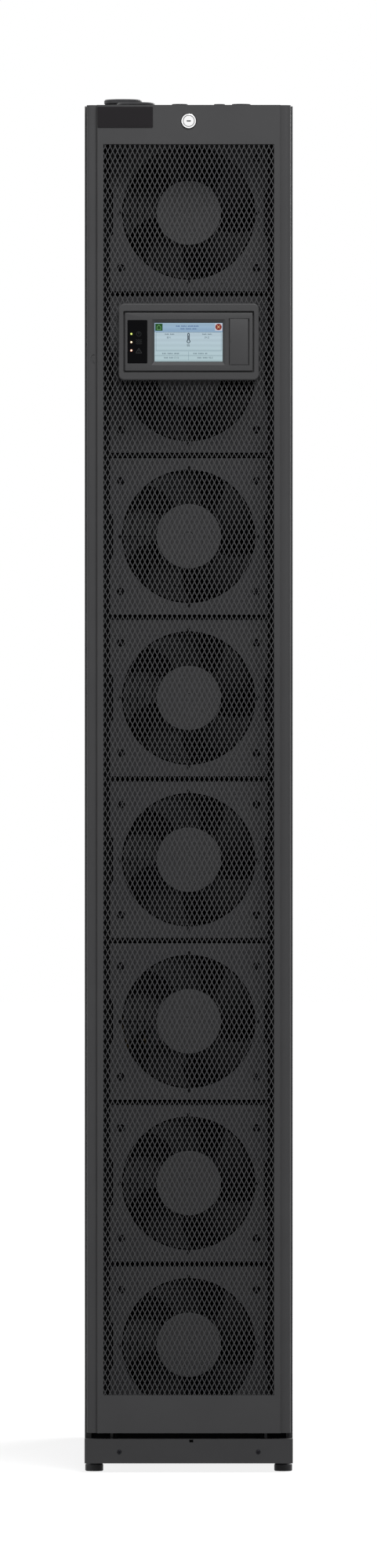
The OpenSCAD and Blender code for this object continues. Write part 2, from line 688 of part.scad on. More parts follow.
module air_filters() color("#d9dad6") for (k = [0, 1]) {
    z0 = base_top + 6 + k * (frame_top - base_top - 40) / 2;
    h = (frame_top - base_top - 40) / 2 - 6;
    w = post_x0 - 3;
    difference() {
        box([-w, filter_y, z0], [w, filter_y + filter_t, z0 + h]);
        box([-w + 14, filter_y - over, z0 + 14], [w - 14, filter_y + filter_t + over, z0 + h - 14]);
    }
    // pleated medium
    n = 12;
    pitch = 2 * (w - 12) / n;
    translate([0, 0, z0 + 13]) linear_extrude(h - 26) polygon(concat(
        [for (j = [0:n]) [-w + 12 + pitch * j, filter_y + (j % 2 == 0 ? 2 : filter_t - 4)]],
        [for (j = [n:-1:0]) [-w + 12 + pitch * j, filter_y + (j % 2 == 0 ? 4 : filter_t - 2)]]));
}

elec_x0 = 20;
elec_z0 = 900;
elec_h = 600;
elec_wall = 2;
elec_gap = 12;
gland_r = 8;
module electrical_box() color("#6d7073") {
    y0 = pan_y + 40;
    y1 = filter_y - elec_gap;
    x1 = post_x1 - frame_t;
    z1 = elec_z0 + elec_h;
    difference() {
        box([elec_x0, y0, elec_z0], [x1, y1, z1]);
        box([elec_x0 + elec_wall, y0 + elec_wall, elec_z0 + elec_wall], [x1 - elec_wall, y1 - elec_wall, z1 - elec_wall]);
    }
    // lid with a folded rim, and cable glands underneath
    box([elec_x0 - elec_wall, y1 - 0.5, elec_z0 - elec_wall], [post_x0 - 2, y1 + elec_wall, z1 + elec_wall]);
    for (k = [0:3]) z_bar(gland_r, elec_z0 - 14, elec_z0 + 1, elec_x0 + 20 + 2.75 * gland_r * k, y0 + 40);
}

// ---- Front door ----
// Outline of the door's folded sheet in plan, inset by d on every face.
function edge_arc(d, n) = [for (k = [0:n]) let (a = -90 + 90 * k / n)
    [door_half - door_edge_r + (door_edge_r - d) * cos(a), door_y + flank_step + door_edge_r + (door_edge_r - d) * sin(a)]];
function right_side(d, back) = concat([[flat_half - d, door_y + d], [flat_half - d, door_y + flank_step + d]],
                                      edge_arc(d, 6), [[door_half - d, back]]);
function flip_x(points) = [for (k = [len(points) - 1:-1:0]) [-points[k][0], points[k][1]]];
module door_plan(d, back) polygon(concat(right_side(d, back), flip_x(right_side(d, back))));

module front_door() color("#474749") {
    difference() {
        translate([0, 0, door_z0]) linear_extrude(cabinet_h - door_z0) door_plan(0, door_back_y);
        translate([0, 0, door_z0 + sheet_t]) linear_extrude(cabinet_h - door_z0 - 2 * sheet_t)
            door_plan(sheet_t, door_back_y - sheet_t);
        // open back inside the folded rim
        box([-door_half + 14, door_back_y - 3, door_z0 + 14], [door_half - 14, door_back_y + over, cabinet_h - 14]);
        box([-opening_half, door_y - over, opening_z0], [opening_half, door_y + 5, opening_z1]);
        y_bar(lock_d / 2 - 1.5 + run_fit, door_y - over, door_y + 5, 0, lock_z);
        // finger pull in the left flank
        intersection() {
            y_bar(7.2, door_y, door_y + 10, -flat_half - 2, display_z - 24.7);
            box([-flat_half - 8, door_y, display_z - 40], [-flat_half - 3, door_y + 10, display_z]);
        }
    }
    // ears that turn on the hinge pins
    both_sides() difference() {
        hull() {
            x_bar(door_pin_d / 2 + 2, ear_half - 4, ear_half, door_pin_y, door_pin_z);
            box([ear_half - 4, door_pin_y - 8, door_z0], [ear_half, door_pin_y + 8, door_z0 + 1]);
        }
        x_bar(door_pin_d / 2 + run_fit, ear_half - 5, ear_half + 1, door_pin_y, door_pin_z);
    }
}

// Diamonds in staggered columns over a w by h field whose lower left corner is the origin
module diamonds(w, h, columns) {
    pitch = w / columns;
    a = pitch * mesh_open / 2;
    b = a * mesh_aspect;
    rows = floor((h - 2 * b) / pitch) + 1;
    z0 = (h - (rows - 1) * pitch) / 2;
    for (r = [0:rows - 1], c = [0:columns - 1 - r % 2])
        translate([pitch * (c + 0.5 + (r % 2) / 2), z0 + pitch * r]) polygon([[-a, 0], [0, -b], [a, 0], [0, b]]);
}
mesh_y = door_y + sheet_t;
module front_grille() color("#3a3b3c") difference() {
    box([-opening_half - 7, mesh_y, opening_z0 - 9], [opening_half + 7, mesh_y + mesh_t, opening_z1 + 9]);
    difference() {
        front_plate(mesh_y - over, mesh_y + mesh_t + over)
            translate([-opening_half, opening_z0])
                diamonds(2 * opening_half, opening_z1 - opening_z0, mesh_columns);
        box([-display_w / 2, mesh_y - 2, display_z - display_h / 2],
            [display_w / 2, mesh_y + mesh_t + 2, display_z + display_h / 2]);
    }
    box([-display_w / 2 + 8, mesh_y - over, display_z - display_h / 2 + 11],
        [display_w / 2 - 8, mesh_y + mesh_t + over, display_z + display_h / 2 - 11]);
}

cam_y = post_y0 + 4;
module door_lock() color("#e3e4e4") translate([0, 0, lock_z]) {
    difference() {
        y_bar(lock_d / 2, door_y - 2.5, door_y, 0, 0);
        box([-2, door_y - 3, -0.6], [2, door_y - 1, 0.6]);
    }
    y_bar(lock_d / 2 - 1.5, door_y - over, door_y + 16, 0, 0);
    y_bar(4, door_y + 15, cam_y + over, 0, 0);
    front_plate(cam_y, cam_y + 3) {
        circle(r = 6);
        translate([0, -4]) square([17, 8]);
    }
}

module name_plate() color("#373037") translate([-flat_half + 0.9 + plate_w / 2, 0, cabinet_h - 2.6 - plate_h / 2])
    front_plate(door_y - 1.2, door_y) centred_rect(plate_w, plate_h, 1);

// ---- Display ----
face_back = bezel_y + 4;
gap_w = 1.8;
rear_box_side = 8.5;
rear_box_band = 11.5;
rear_box_wall = 2;
module display_housing() color("#414244") translate([0, 0, display_z]) difference() {
    union() {
        front_plate(bezel_y, bezel_y + 2) centred_rect(display_w - 2, display_h - 2, 7);
        front_plate(bezel_y + 1, mesh_y) centred_rect(display_w, display_h, 8);
        front_plate(mesh_y - over, mesh_y + 30)
            centred_rect(display_w - 2 * rear_box_side, display_h - 2 * rear_box_band, 3);
    }
    front_plate(bezel_y - over, face_back + 2) centred_rect(face_w + 2 * gap_w, face_h + 2 * gap_w, 4);
    front_plate(face_back + over, mesh_y + 28)
        centred_rect(display_w - 2 * (rear_box_side + rear_box_wall), display_h - 2 * (rear_box_band + rear_box_wall), 3);
}

screen_z = 0;
led_w = 28.8;
led_h = 62.6;
led_x = -face_w / 2 + 18;
flap_x0 = face_w / 2 - 6.4 - flap_w;
finger_gap = 1.7;
pocket_depth = 22;
module display_face() color("#505154") translate([0, 0, display_z]) {
    front = bezel_y + 1;
    difference() {
        front_plate(front, face_back + 2) centred_rect(face_w, face_h, 3);
        front_plate(front - over, face_back + 3) centred_rect(screen_w, screen_h, 1.5);
        translate([led_x, 0, 0]) front_plate(front - over, front + 2) centred_rect(led_w, led_h, 1);
        box([flap_x0 - 0.4, front - over, -flap_h / 2 - 0.4],
            [flap_x0 + flap_w + finger_gap, front + 2.8, flap_h / 2 + 0.4]);
        box([flap_x0 + 3.5, front, -flap_h / 2 + 3], [flap_x0 + flap_w - 1, face_back + 3, flap_h / 2 - 3]);
        z_bar(0.7 + run_fit, -flap_h / 2 - 3, flap_h / 2 + 3, flap_x0 + 1.2, front + 1.2);
    }
    // pocket behind the flap, and posts to the housing's back
    difference() {
        box([flap_x0 + 2, face_back + 1, -flap_h / 2 + 1.5], [flap_x0 + flap_w + 0.5, face_back + pocket_depth, flap_h / 2 - 1.5]);
        box([flap_x0 + 3.5, face_back, -flap_h / 2 + 3],
            [flap_x0 + flap_w - 1, face_back + pocket_depth - 1.5, flap_h / 2 - 3]);
    }
    for (x = [-face_w / 2 + 10, 0.36 * face_w / 2], s = [-1, 1])
        y_bar(3, face_back + over, mesh_y + 28, x, s * (face_h / 2 - 4));
}

module display_screen() color("#a9cfe0") translate([0, 0, display_z]) {
    front_plate(bezel_y + 2.2, bezel_y + 4.2) centred_rect(screen_w - 0.4, screen_h - 0.4, 1.3);
    front_plate(bezel_y + 4.1, face_back + 2) centred_rect(screen_w - 4, screen_h - 4, 0);
    front_plate(face_back + 2, face_back + 9) centred_rect(screen_w + 2, screen_h + 4, 0);
}

module led_window() color("#0b0b0d") translate([led_x, 0, display_z]) {
    front_plate(bezel_y + 1.3, bezel_y + 3) centred_rect(led_w - 0.4, led_h - 0.4, 0.9);
    for (k = [-1:1]) y_bar(1.85, bezel_y + 1, bezel_y + 2, -8.7, -0.6 + 11.9 * k);
}

module service_flap() color("#4c4d50") translate([0, 0, display_z]) {
    front = bezel_y + 1;
    box([flap_x0 + 1.2, front + 0.2, -flap_h / 2 + 0.1], [flap_x0 + flap_w, front + 2, flap_h / 2 - 0.1]);
    z_bar(1.1, -flap_h / 2 + 0.1, flap_h / 2 - 0.1, flap_x0 + 1.2, front + 1.2);
    z_bar(0.7, -flap_h / 2 - 2.5, flap_h / 2 + 2.5, flap_x0 + 1.2, front + 1.2);
}

module port_block() color("#2a2b2d") {
    back = face_back + pocket_depth - 1.5;
    mid = flap_x0 + flap_w / 2 + 1.2;
    translate([mid, 0, display_z]) {
        difference() {
            box([-10, back - 8, -28], [10, back, 28]);
            for (z = [6, 18]) box([-6.2, back - 9, z - 2.6], [6.2, back - 1, z + 2.6]);
            box([-4, back - 9, -8.5], [4, back - 1, -5.5]);
            y_bar(5, back - 9, back - 2, 0, -19);
        }
        for (z = [6, 18]) box([-5, back - 7, z - 1.2], [5, back - 0.5, z + 1]);
        y_bar(1.2, back - 6, back - 1, 0, -19);
    }
}

// ---- Rear door ----
rear_hinge_x = -door_half + 6;
rear_hinge_y = rear_door_y + 13.5;
rear_pin_r = 4;
rear_door_top = cabinet_h - sweep_gap;
latch_x = post_x0 - 12;
rear_field = latch_x - 16;
module rear_door() color("#454648") difference() {
    union() {
        difference() {
            box([-door_half, rear_door_y, door_z0], [door_half, rear_face_y, rear_door_top]);
            box([-door_half + sheet_t, rear_door_y - over, door_z0 + sheet_t],
                [door_half - sheet_t, rear_face_y - sheet_t, rear_door_top - sheet_t]);
        }
        // hinge blocks in the corners, and the latch boss
        for (z = [door_z0, rear_door_top - 20])
            box([-door_half, rear_hinge_y - 7, z], [rear_hinge_x + 8, rear_face_y, z + 20]);
        y_bar(13, rear_face_y - 8, rear_face_y, latch_x, latch_z);
    }
    for (z = [door_z0, rear_door_top - 20])
        z_bar(rear_pin_r + run_fit, z - over, z + 21, rear_hinge_x, rear_hinge_y);
    y_bar(6 + run_fit, rear_face_y - 10, rear_face_y + over, latch_x, latch_z);
    front_plate(rear_face_y - 4, rear_face_y + over) translate([-rear_field, door_z0 + 60])
        diamonds(2 * rear_field, rear_door_top - door_z0 - 120, 6);
}

module rear_latch() color("#8e9092") translate([latch_x, 0, latch_z]) {
    y_bar(6, rear_door_y - 12, rear_face_y + over, 0, 0);
    y_bar(11, rear_face_y, rear_face_y + 4, 0, 0);
    front_plate(rear_face_y + 3, rear_face_y + latch_proud) {
        translate([-9, -70]) square([18, 78]);
        circle(r = 11);
        translate([0, -70]) circle(r = 9);
    }
    // cam arm, parked upright and clear of the frame
    front_plate(rear_door_y - 12, rear_door_y - 9) {
        circle(r = 8);
        translate([-5, 0]) square([10, 17]);
    }
}

module rear_hinge_pins() color("#9a9c9e") {
    // bottom pin on a bracket from the base, top pin on a bracket from the roof rail
    z_bar(rear_pin_r, door_z0 - 8, door_z0 + 16, rear_hinge_x, rear_hinge_y);
    box([rear_hinge_x - 6, post_y1, door_z0 - 12], [rear_hinge_x + 8, rear_hinge_y + 6, door_z0 - 7]);
    z_bar(rear_pin_r, cabinet_h - 16, cabinet_h + 2, rear_hinge_x, rear_hinge_y);
    box([rear_hinge_x - 6, frame_y1 - 14, cabinet_h], [rear_hinge_x + 8, rear_hinge_y + 6, cabinet_h + 4]);
}

module pan_head(r, h) { cylinder(r1 = r, r2 = r * 0.8, h = h); translate([0, 0, -5]) cylinder(r = 2, h = 5.5); }
module screws() color("#19191b") {
    for (i = [1:fan_count], x = [-1, 1], z = [-1, 1])
        translate([x * fan_screw_x, ring_y0, fan_z(i) + z * fan_screw_z]) rotate([90, 0, 0]) pan_head(4.2, 1.8);
    both_sides() translate([kick_screw_spacing / 2, kick_y, (kick_z0 + kick_z1) / 2 - 1])
        rotate([90, 0, 0]) pan_head(4, 1.4);
    for (s = roof_screws) translate([s[0], frame_y0 + s[1], cabinet_h]) pan_head(4, 2);
}

for (i = [1:fan_count]) fan_panel(i);
for (i = [1:fan_count]) fan_rotor(i);
for (i = [1:4]) caster_fork(i);
for (i = [1:4]) caster_wheel(i);
for (i = [1:4]) levelling_foot(i);
fan_housings();
base_frame();
kick_plate();
cabinet_frame();
left_side_panel();
right_side_panel();
roof_panel();
pipe_collars();
cable_grommets();
coil_core();
coil_headers();
drip_pan();
condensate_pump();
control_valve();
valve_actuator();
water_pipes();
air_filters();
electrical_box();
front_door();
front_grille();
door_lock();
name_plate();
display_housing();
display_face();
display_screen();
led_window();
service_flap();
port_block();
rear_door();
rear_latch();
rear_hinge_pins();
screws();
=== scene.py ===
import json
import math

import bmesh
import bpy
from bpy.props import FloatProperty, FloatVectorProperty, PointerProperty
from mathutils import Matrix, Vector


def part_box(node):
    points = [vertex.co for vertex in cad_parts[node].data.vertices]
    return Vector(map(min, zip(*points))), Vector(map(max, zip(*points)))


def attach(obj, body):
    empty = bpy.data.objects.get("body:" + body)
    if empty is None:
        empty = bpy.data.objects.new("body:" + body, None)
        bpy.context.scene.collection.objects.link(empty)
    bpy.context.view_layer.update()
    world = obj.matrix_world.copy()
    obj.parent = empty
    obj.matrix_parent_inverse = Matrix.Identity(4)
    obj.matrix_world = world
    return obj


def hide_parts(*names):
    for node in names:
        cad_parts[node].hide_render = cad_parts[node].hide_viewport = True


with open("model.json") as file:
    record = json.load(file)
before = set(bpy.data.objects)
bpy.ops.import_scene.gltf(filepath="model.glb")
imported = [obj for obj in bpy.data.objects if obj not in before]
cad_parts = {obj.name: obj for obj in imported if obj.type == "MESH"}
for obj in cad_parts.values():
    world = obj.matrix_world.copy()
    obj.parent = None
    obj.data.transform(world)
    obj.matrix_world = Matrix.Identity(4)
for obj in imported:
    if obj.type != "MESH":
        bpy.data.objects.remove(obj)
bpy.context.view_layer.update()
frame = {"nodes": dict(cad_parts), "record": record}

bl_info = {
    "name": "In-row cooling unit",
    "version": (1, 0, 0),
    "blender": (4, 5, 0),
    "location": "View3D > Sidebar > Cooling unit",
    "description": "Dresses the cabinet, doors, fans and display of an in-row cooling unit",
    "category": "Object",
}

MM = 0.001


# ---- Colours and node helpers ----
def linear(colour):
    """An sRGB hex colour such as 4A4B4D as linear red, green, blue and alpha. A colour given as four
    numbers is linear already."""
    if not isinstance(colour, str):
        return tuple(colour)
    parts = [int(colour[k:k + 2], 16) / 255 for k in (0, 2, 4)]
    return [c / 12.92 if c <= 0.04045 else ((c + 0.055) / 1.055) ** 2.4 for c in parts] + [1.0]


def add_node(tree, kind, settings=None, **links):
    """Adds a node. A link's value is a socket or a plain value. Its name is an input's, with underscores for
    spaces, or i and the input's number."""
    node = tree.nodes.new(kind)
    for key, value in (settings or {}).items():
        setattr(node, key, value)
    for key, value in links.items():
        numbered = key[0] == "i" and key[1:].isdigit()
        socket = node.inputs[int(key[1:]) if numbered else key.replace("_", " ")]
        if isinstance(value, bpy.types.NodeSocket):
            tree.links.new(value, socket)
        else:
            socket.default_value = value
    return node


def new_material(name):
    """An empty node material, with its tree and its shader."""
    material = bpy.data.materials.new(name)
    material.use_nodes = True
    tree = material.node_tree
    tree.nodes.clear()
    shader = add_node(tree, "ShaderNodeBsdfPrincipled")
    add_node(tree, "ShaderNodeOutputMaterial", Surface=shader.outputs["BSDF"])
    return material, tree, shader


def object_noise(tree, size_mm, detail=3.0, roughness=0.55, stretch=(1, 1, 1)):
    """Noise whose grains are about size_mm across on the object."""
    coords = add_node(tree, "ShaderNodeTexCoord")
    mapping = add_node(tree, "ShaderNodeMapping", Vector=coords.outputs["Object"], Scale=stretch)
    return add_node(tree, "ShaderNodeTexNoise", Vector=mapping.outputs[0], Scale=1 / (size_mm * MM),
                    Detail=detail, Roughness=roughness).outputs["Fac"]


def blend_colours(tree, factor, first, second):
    """A colour that goes from first to second as factor goes from 0 to 1."""
    ramp = add_node(tree, "ShaderNodeMix", {"data_type": "RGBA"})
    tree.links.new(factor, ramp.inputs[0])
    ramp.inputs[6].default_value = linear(first)
    ramp.inputs[7].default_value = linear(second)
    return ramp.outputs[2]


def map_range(tree, value, low, high, to_low, to_high):
    """A value's range from low to high, moved to another range and held at its ends."""
    return add_node(tree, "ShaderNodeMapRange", Value=value, From_Min=low, From_Max=high,
                    To_Min=to_low, To_Max=to_high).outputs[0]


def bump(tree, shader, height, distance_mm, strength=1.0):
    """Small relief that bends the light and not the mesh."""
    node = add_node(tree, "ShaderNodeBump", Height=height, Distance=distance_mm * MM, Strength=strength)
    tree.links.new(node.outputs[0], shader.inputs["Normal"])


# ---- Materials ----
def powder_coat(name, colour, worn, roughness=0.5, grain_mm=1.1, sheen=0.22):
    """Polyester powder coat on sheet steel: an even satin film with a fine orange-peel texture.
    The real grain is near 0.3 mm, and is drawn coarser so that it shows."""
    material, tree, shader = new_material(name)
    cloud = object_noise(tree, 90, 4.0)
    grain = object_noise(tree, grain_mm, 2.0)
    tint = blend_colours(tree, map_range(tree, cloud, 0.35, 0.65, 0, 1), colour, worn)
    tree.links.new(tint, shader.inputs["Base Color"])
    tree.links.new(map_range(tree, cloud, 0.3, 0.7, roughness - 0.02, roughness + 0.02),
                   shader.inputs["Roughness"])
    shader.inputs["Specular IOR Level"].default_value = sheen
    bump(tree, shader, grain, 0.05, 0.5)
    return material


def moulded_plastic(name, colour, other, roughness=0.45, grain_mm=0.9, sheen=0.25):
    """Moulded ABS with a spark-eroded texture: slightly mottled, with soft wide highlights."""
    material, tree, shader = new_material(name)
    cloud = object_noise(tree, 25, 3.0)
    grain = object_noise(tree, grain_mm, 2.0)
    tree.links.new(blend_colours(tree, cloud, colour, other), shader.inputs["Base Color"])
    tree.links.new(map_range(tree, grain, 0.3, 0.7, roughness - 0.06, roughness + 0.08),
                   shader.inputs["Roughness"])
    shader.inputs["Specular IOR Level"].default_value = sheen
    bump(tree, shader, grain, 0.03, 0.35)
    return material


def rubber(name, colour, other):
    """Black vulcanised rubber: dull, with a bloom of dust."""
    material, tree, shader = new_material(name)
    dust = object_noise(tree, 6, 5.0)
    tint = blend_colours(tree, map_range(tree, dust, 0.45, 0.75, 0, 1), colour, other)
    tree.links.new(tint, shader.inputs["Base Color"])
    shader.inputs["Roughness"].default_value = 0.78
    shader.inputs["Specular IOR Level"].default_value = 0.12
    bump(tree, shader, dust, 0.1, 0.4)
    return material


def worked_metal(name, colour, other, roughness=0.3, grain_mm=2.0):
    """Bare or plated metal: fully metallic, with a cloudy grain in its colour and its shine."""
    material, tree, shader = new_material(name)
    cloud = object_noise(tree, grain_mm, 4.0, 0.6)
    tree.links.new(blend_colours(tree, cloud, colour, other), shader.inputs["Base Color"])
    tree.links.new(map_range(tree, cloud, 0.3, 0.7, roughness - 0.08, roughness + 0.12),
                   shader.inputs["Roughness"])
    shader.inputs["Metallic"].default_value = 1.0
    bump(tree, shader, cloud, 0.03, 0.3)
    return material


def lit_surface(name, colour, strength, roughness=0.25):
    """A surface that glows by itself and keeps a soft gloss: a lit display element behind clear plastic, and
    the printed lamp icons, whose faint glow is painted light.
    """
    material, _, shader = new_material(name)
    glow = linear(colour)
    shader.inputs["Base Color"].default_value = [c * 0.06 for c in glow[:3]] + [1.0]
    shader.inputs["Specular IOR Level"].default_value = 0.2
    shader.inputs["Emission Color"].default_value = glow
    shader.inputs["Emission Strength"].default_value = strength
    shader.inputs["Roughness"].default_value = roughness
    return material


def backlight(name, top, bottom, low, high, strength):
    """A lit part of the colour screen, whose colour goes from bottom at the height low to top at the
    height high, with faint bands across it. The real lines are too fine to show, so the bands are drawn
    coarser."""
    material, tree, shader = new_material(name)
    coords = add_node(tree, "ShaderNodeTexCoord")
    height = add_node(tree, "ShaderNodeSeparateXYZ", Vector=coords.outputs["Object"]).outputs[2]
    colour = blend_colours(tree, map_range(tree, height, low, high, 0, 1), bottom, top)
    bands = add_node(tree, "ShaderNodeTexWave", {"bands_direction": "Z"}, Vector=coords.outputs["Object"],
                     Scale=42.0, Distortion=0.6, Detail=1.0).outputs["Fac"]
    shaded = add_node(tree, "ShaderNodeHueSaturation", Color=colour,
                      Value=map_range(tree, bands, 0, 1, 0.94, 1.03))
    tree.links.new(shaded.outputs[0], shader.inputs["Emission Color"])
    shader.inputs["Base Color"].default_value = linear("202426")
    shader.inputs["Specular IOR Level"].default_value = 0.2
    shader.inputs["Emission Strength"].default_value = strength
    shader.inputs["Roughness"].default_value = 0.2
    return material


def gloss_black(name, colour):
    """A tinted acrylic window: deep black with a clear glossy face and faint smears."""
    material, tree, shader = new_material(name)
    smear = object_noise(tree, 14, 3.0)
    shader.inputs["Base Color"].default_value = linear(colour)
    tree.links.new(map_range(tree, smear, 0.3, 0.7, 0.08, 0.2), shader.inputs["Roughness"])
    shader.inputs["Specular IOR Level"].default_value = 0.04
    return material


def pleated_paper(name, colour, other):
    """Pleated filter medium: matt felted fibres."""
    material, tree, shader = new_material(name)
    fibre = object_noise(tree, 1.2, 5.0, 0.7, (1, 1, 0.4))
    tree.links.new(blend_colours(tree, fibre, colour, other), shader.inputs["Base Color"])
    shader.inputs["Roughness"].default_value = 0.92
    bump(tree, shader, fibre, 0.3, 0.6)
    return material


MATERIALS = {}


def make_materials():
    """Every finish of the unit, by the short name that the pieces use."""
    made = {
        # powder-coated sheet steel: satin, slightly cloudy, with almost no shine inside the cabinet
        "door_coat": powder_coat("door_powder_coat", "484849", "454546", 0.5),
        "mesh_coat": powder_coat("mesh_powder_coat", "4C4C4D", "48484A", 0.5, 1.1, 0.25),
        "panel_coat": powder_coat("side_panel_powder_coat", "444445", "414142", 0.52),
        "kick_coat": powder_coat("kick_plate_powder_coat", "414142", "3E3E3F", 0.5),
        "fan_panel_coat": powder_coat("fan_panel_powder_coat", "505051", "4B4B4D", 0.55, 1.1, 0.1),
        # the frame is painted black, and its near-black tone is also painted shade for the deep gaps beside
        # the fan panels
        "frame_coat_and_shade": powder_coat("frame_black_coat", "0B0B0C", "0F0F10", 0.6, 1.1, 0.04),
        "box_coat": powder_coat("electrical_box_coat", "6D7073", "676A6D", 0.5),
        # moulded plastics: faint texture and a soft wide highlight
        "bezel_abs": moulded_plastic("display_bezel_abs", "464647", "424243", 0.5),
        "face_abs": moulded_plastic("display_face_abs", "464647", "424243", 0.48),
        # the rotor is dark nylon, darkened further as painted shade for its angled, recessed blades
        "rotor_pa_and_shade": moulded_plastic("rotor_glass_filled_nylon", "29292A", "242425", 0.5, 1.6, 0.05),
        "hub_coat": powder_coat("motor_cap_coat", "545455", "505051", 0.5, 1.1, 0.1),
        "housing_pa": moulded_plastic("fan_housing_nylon", "0E0E0F", "121213", 0.55, 1.6, 0.04),
        "foot_pa": moulded_plastic("foot_nylon", "3A3A3C", "333335", 0.5, 1.2),
        "collar_pvc": moulded_plastic("collar_pvc", "3C3C3E", "353537", 0.45, 1.2),
        "pump_pp": moulded_plastic("pump_polypropylene", "2F5F8F", "2A5683", 0.4, 1.4),
        "actuator_abs": moulded_plastic("actuator_abs", "C9CBCD", "BFC1C3", 0.42, 1.2),
        "port_abs": moulded_plastic("port_abs", "2A2B2D", "242527", 0.4),
        "plate_abs": moulded_plastic("name_plate_abs", "222022", "1F1D1F", 0.4, 0.7, 0.12),
        # rubbers and foam: dull black
        "rubber": rubber("black_rubber", "1A1A1C", "242426"),
        "wheel_rubber": rubber("wheel_polyurethane", "28292C", "34353A"),
        "insulation": rubber("pipe_insulation_foam", "0F0F10", "151516"),
        # bare, plated and coated metals
        "chrome": worked_metal("polished_chrome", "FBFBFB", "F4F4F5", 0.14, 8.0),
        "zinc": worked_metal("zinc_plated_steel", "A7A9AB", "8F9194", 0.34, 5.0),
        "galvanised": worked_metal("galvanised_steel", "9A9EA2", "82868A", 0.42, 9.0),
        # painted shade: the coil's fins and casing are near black so that the cabinet's interior behind the
        # fans reads dark
        "fins": powder_coat("epoxy_coated_fins", "0C0D0D", "101112", 0.6, 1.5, 0.03),
        "coil_painted_shade": powder_coat("coil_casing_coat", "0E0F10", "141516", 0.55, 1.5, 0.04),
        "brass": worked_metal("cast_brass", "8A7440", "6E5A2E", 0.5, 2.0),
        "latch_metal": worked_metal("cast_aluminium", "94969A", "808286", 0.4, 1.4),
        "screw_steel": worked_metal("black_oxide_steel", "2B2B2E", "1C1C1F", 0.42, 1.2),
        # clear or tinted windows, and paper
        "window": gloss_black("tinted_acrylic", "08080A"),
        "filter_medium": pleated_paper("filter_medium", "DCDDD8", "C8C9C2"),
    }
    MATERIALS.update(made)


CAD_FINISHES = {
    "fan_panel_coat": [f"fan_panel_{k}" for k in range(1, 9)],
    "rotor_pa_and_shade": [f"fan_rotor_{k}" for k in range(1, 9)],
    "housing_pa": ["fan_housings"],
    "zinc": [f"caster_fork_{k}" for k in range(1, 5)] + ["rear_hinge_pins"],
    "wheel_rubber": [f"caster_wheel_{k}" for k in range(1, 5)],
    "foot_pa": [f"levelling_foot_{k}" for k in range(1, 5)],
    "frame_coat_and_shade": ["base_frame", "cabinet_frame"],
    "kick_coat": ["kick_plate"],
    "panel_coat": ["left_side_panel", "right_side_panel", "roof_panel"],
    "collar_pvc": ["pipe_collars"],
    "rubber": ["cable_grommets"],
    "fins": ["coil_core"],
    "coil_painted_shade": ["coil_headers"],
    "insulation": ["water_pipes"],
    "galvanised": ["drip_pan"],
    "pump_pp": ["condensate_pump"],
    "brass": ["control_valve"],
    "actuator_abs": ["valve_actuator"],
    "filter_medium": ["air_filters"],
    "box_coat": ["electrical_box"],
    "door_coat": ["front_door", "rear_door"],
    "mesh_coat": ["front_grille"],
    "chrome": ["door_lock"],
    "plate_abs": ["name_plate"],
    "bezel_abs": ["display_housing"],
    "face_abs": ["display_face", "service_flap"],
    "window": ["led_window", "display_screen"],
    "port_abs": ["port_block"],
    "latch_metal": ["rear_latch"],
    "screw_steel": ["screws"],
}


def finish_cad_nodes():
    """Gives every CAD node its finish."""
    for key, nodes in CAD_FINISHES.items():
        for name in nodes:
            mesh = frame["nodes"][name].data
            mesh.materials.clear()
            mesh.materials.append(MATERIALS[key])


# ---- Outlines ----
def polar(radius, degrees):
    """A point on a circle about the origin."""
    return radius * math.cos(math.radians(degrees)), radius * math.sin(math.radians(degrees))


def arc(radius, start, sweep, steps, centre=(0.0, 0.0)):
    """Points along an arc, from start over sweep degrees, with both ends."""
    points = [polar(radius, start + sweep * k / steps) for k in range(steps + 1)]
    return [(centre[0] + x, centre[1] + y) for x, y in points]


def rolled_edge(edge, steps):
    """How far in and how far back each step of a rolled edge lies, from its back to its front."""
    return [(edge - x, edge - y) for x, y in arc(edge, 0, 90, steps)]


def stacked(levels, centre=(0.0, 0.0)):
    """Outlines as seen from the front, in millimetres about a centre, each at its own depth."""
    return [[Vector((centre[0] + u * MM, y, centre[1] + v * MM)) for u, v in outline]
            for y, outline in levels]


def turned(profile, base=0.0):
    """A profile of (radius, depth) pairs in millimetres, as metres, with its depths counted from base."""
    return [(radius * MM, base + depth * MM) for radius, depth in profile]


def raised(plan, low, high):
    """An outline in plan, at two heights."""
    return [[Vector((x, y, z)) for x, y in plan] for z in (low, high)]


def front_middle(low, high):
    """Middle of a box as seen from the front: across and up."""
    return (low[0] + high[0]) / 2, (low[2] + high[2]) / 2


# ---- Mesh helpers ----
def solid(fill, *args, **options):
    """A new mesh that one of the functions below fills."""
    bm = bmesh.new()
    fill(bm, *args, **options)
    return bm


def piece_from_bmesh(name, bm, material, smooth_angle=None):
    """A finished object at the origin, with its place in its mesh."""
    bmesh.ops.remove_doubles(bm, verts=bm.verts, dist=1e-6)
    bmesh.ops.recalc_face_normals(bm, faces=bm.faces)
    mesh = bpy.data.meshes.new(name)
    bm.to_mesh(mesh)
    bm.free()
    obj = bpy.data.objects.new(name, mesh)
    bpy.context.scene.collection.objects.link(obj)
    mesh.materials.append(MATERIALS[material] if isinstance(material, str) else material)
    if smooth_angle:
        smoothed(obj, smooth_angle)
    return obj


def smoothed(obj, angle):
    """Smooth shading that keeps large faces flat and edges above the angle sharp."""
    obj.data.shade_smooth()
    obj.data.set_sharp_from_angle(angle=math.radians(angle))
    weighted = obj.modifiers.new("normals", "WEIGHTED_NORMAL")
    weighted.keep_sharp = True
    return applied(obj)


def box_into(bm, low, high):
    """Adds a box between two corners, in metres."""
    centre = [(a + b) / 2 for a, b in zip(low, high)]
    size = [b - a for a, b in zip(low, high)]
    matrix = Matrix.Translation(centre) @ Matrix.Diagonal((*size, 1))
    return bmesh.ops.create_cube(bm, size=1, matrix=matrix)["verts"]


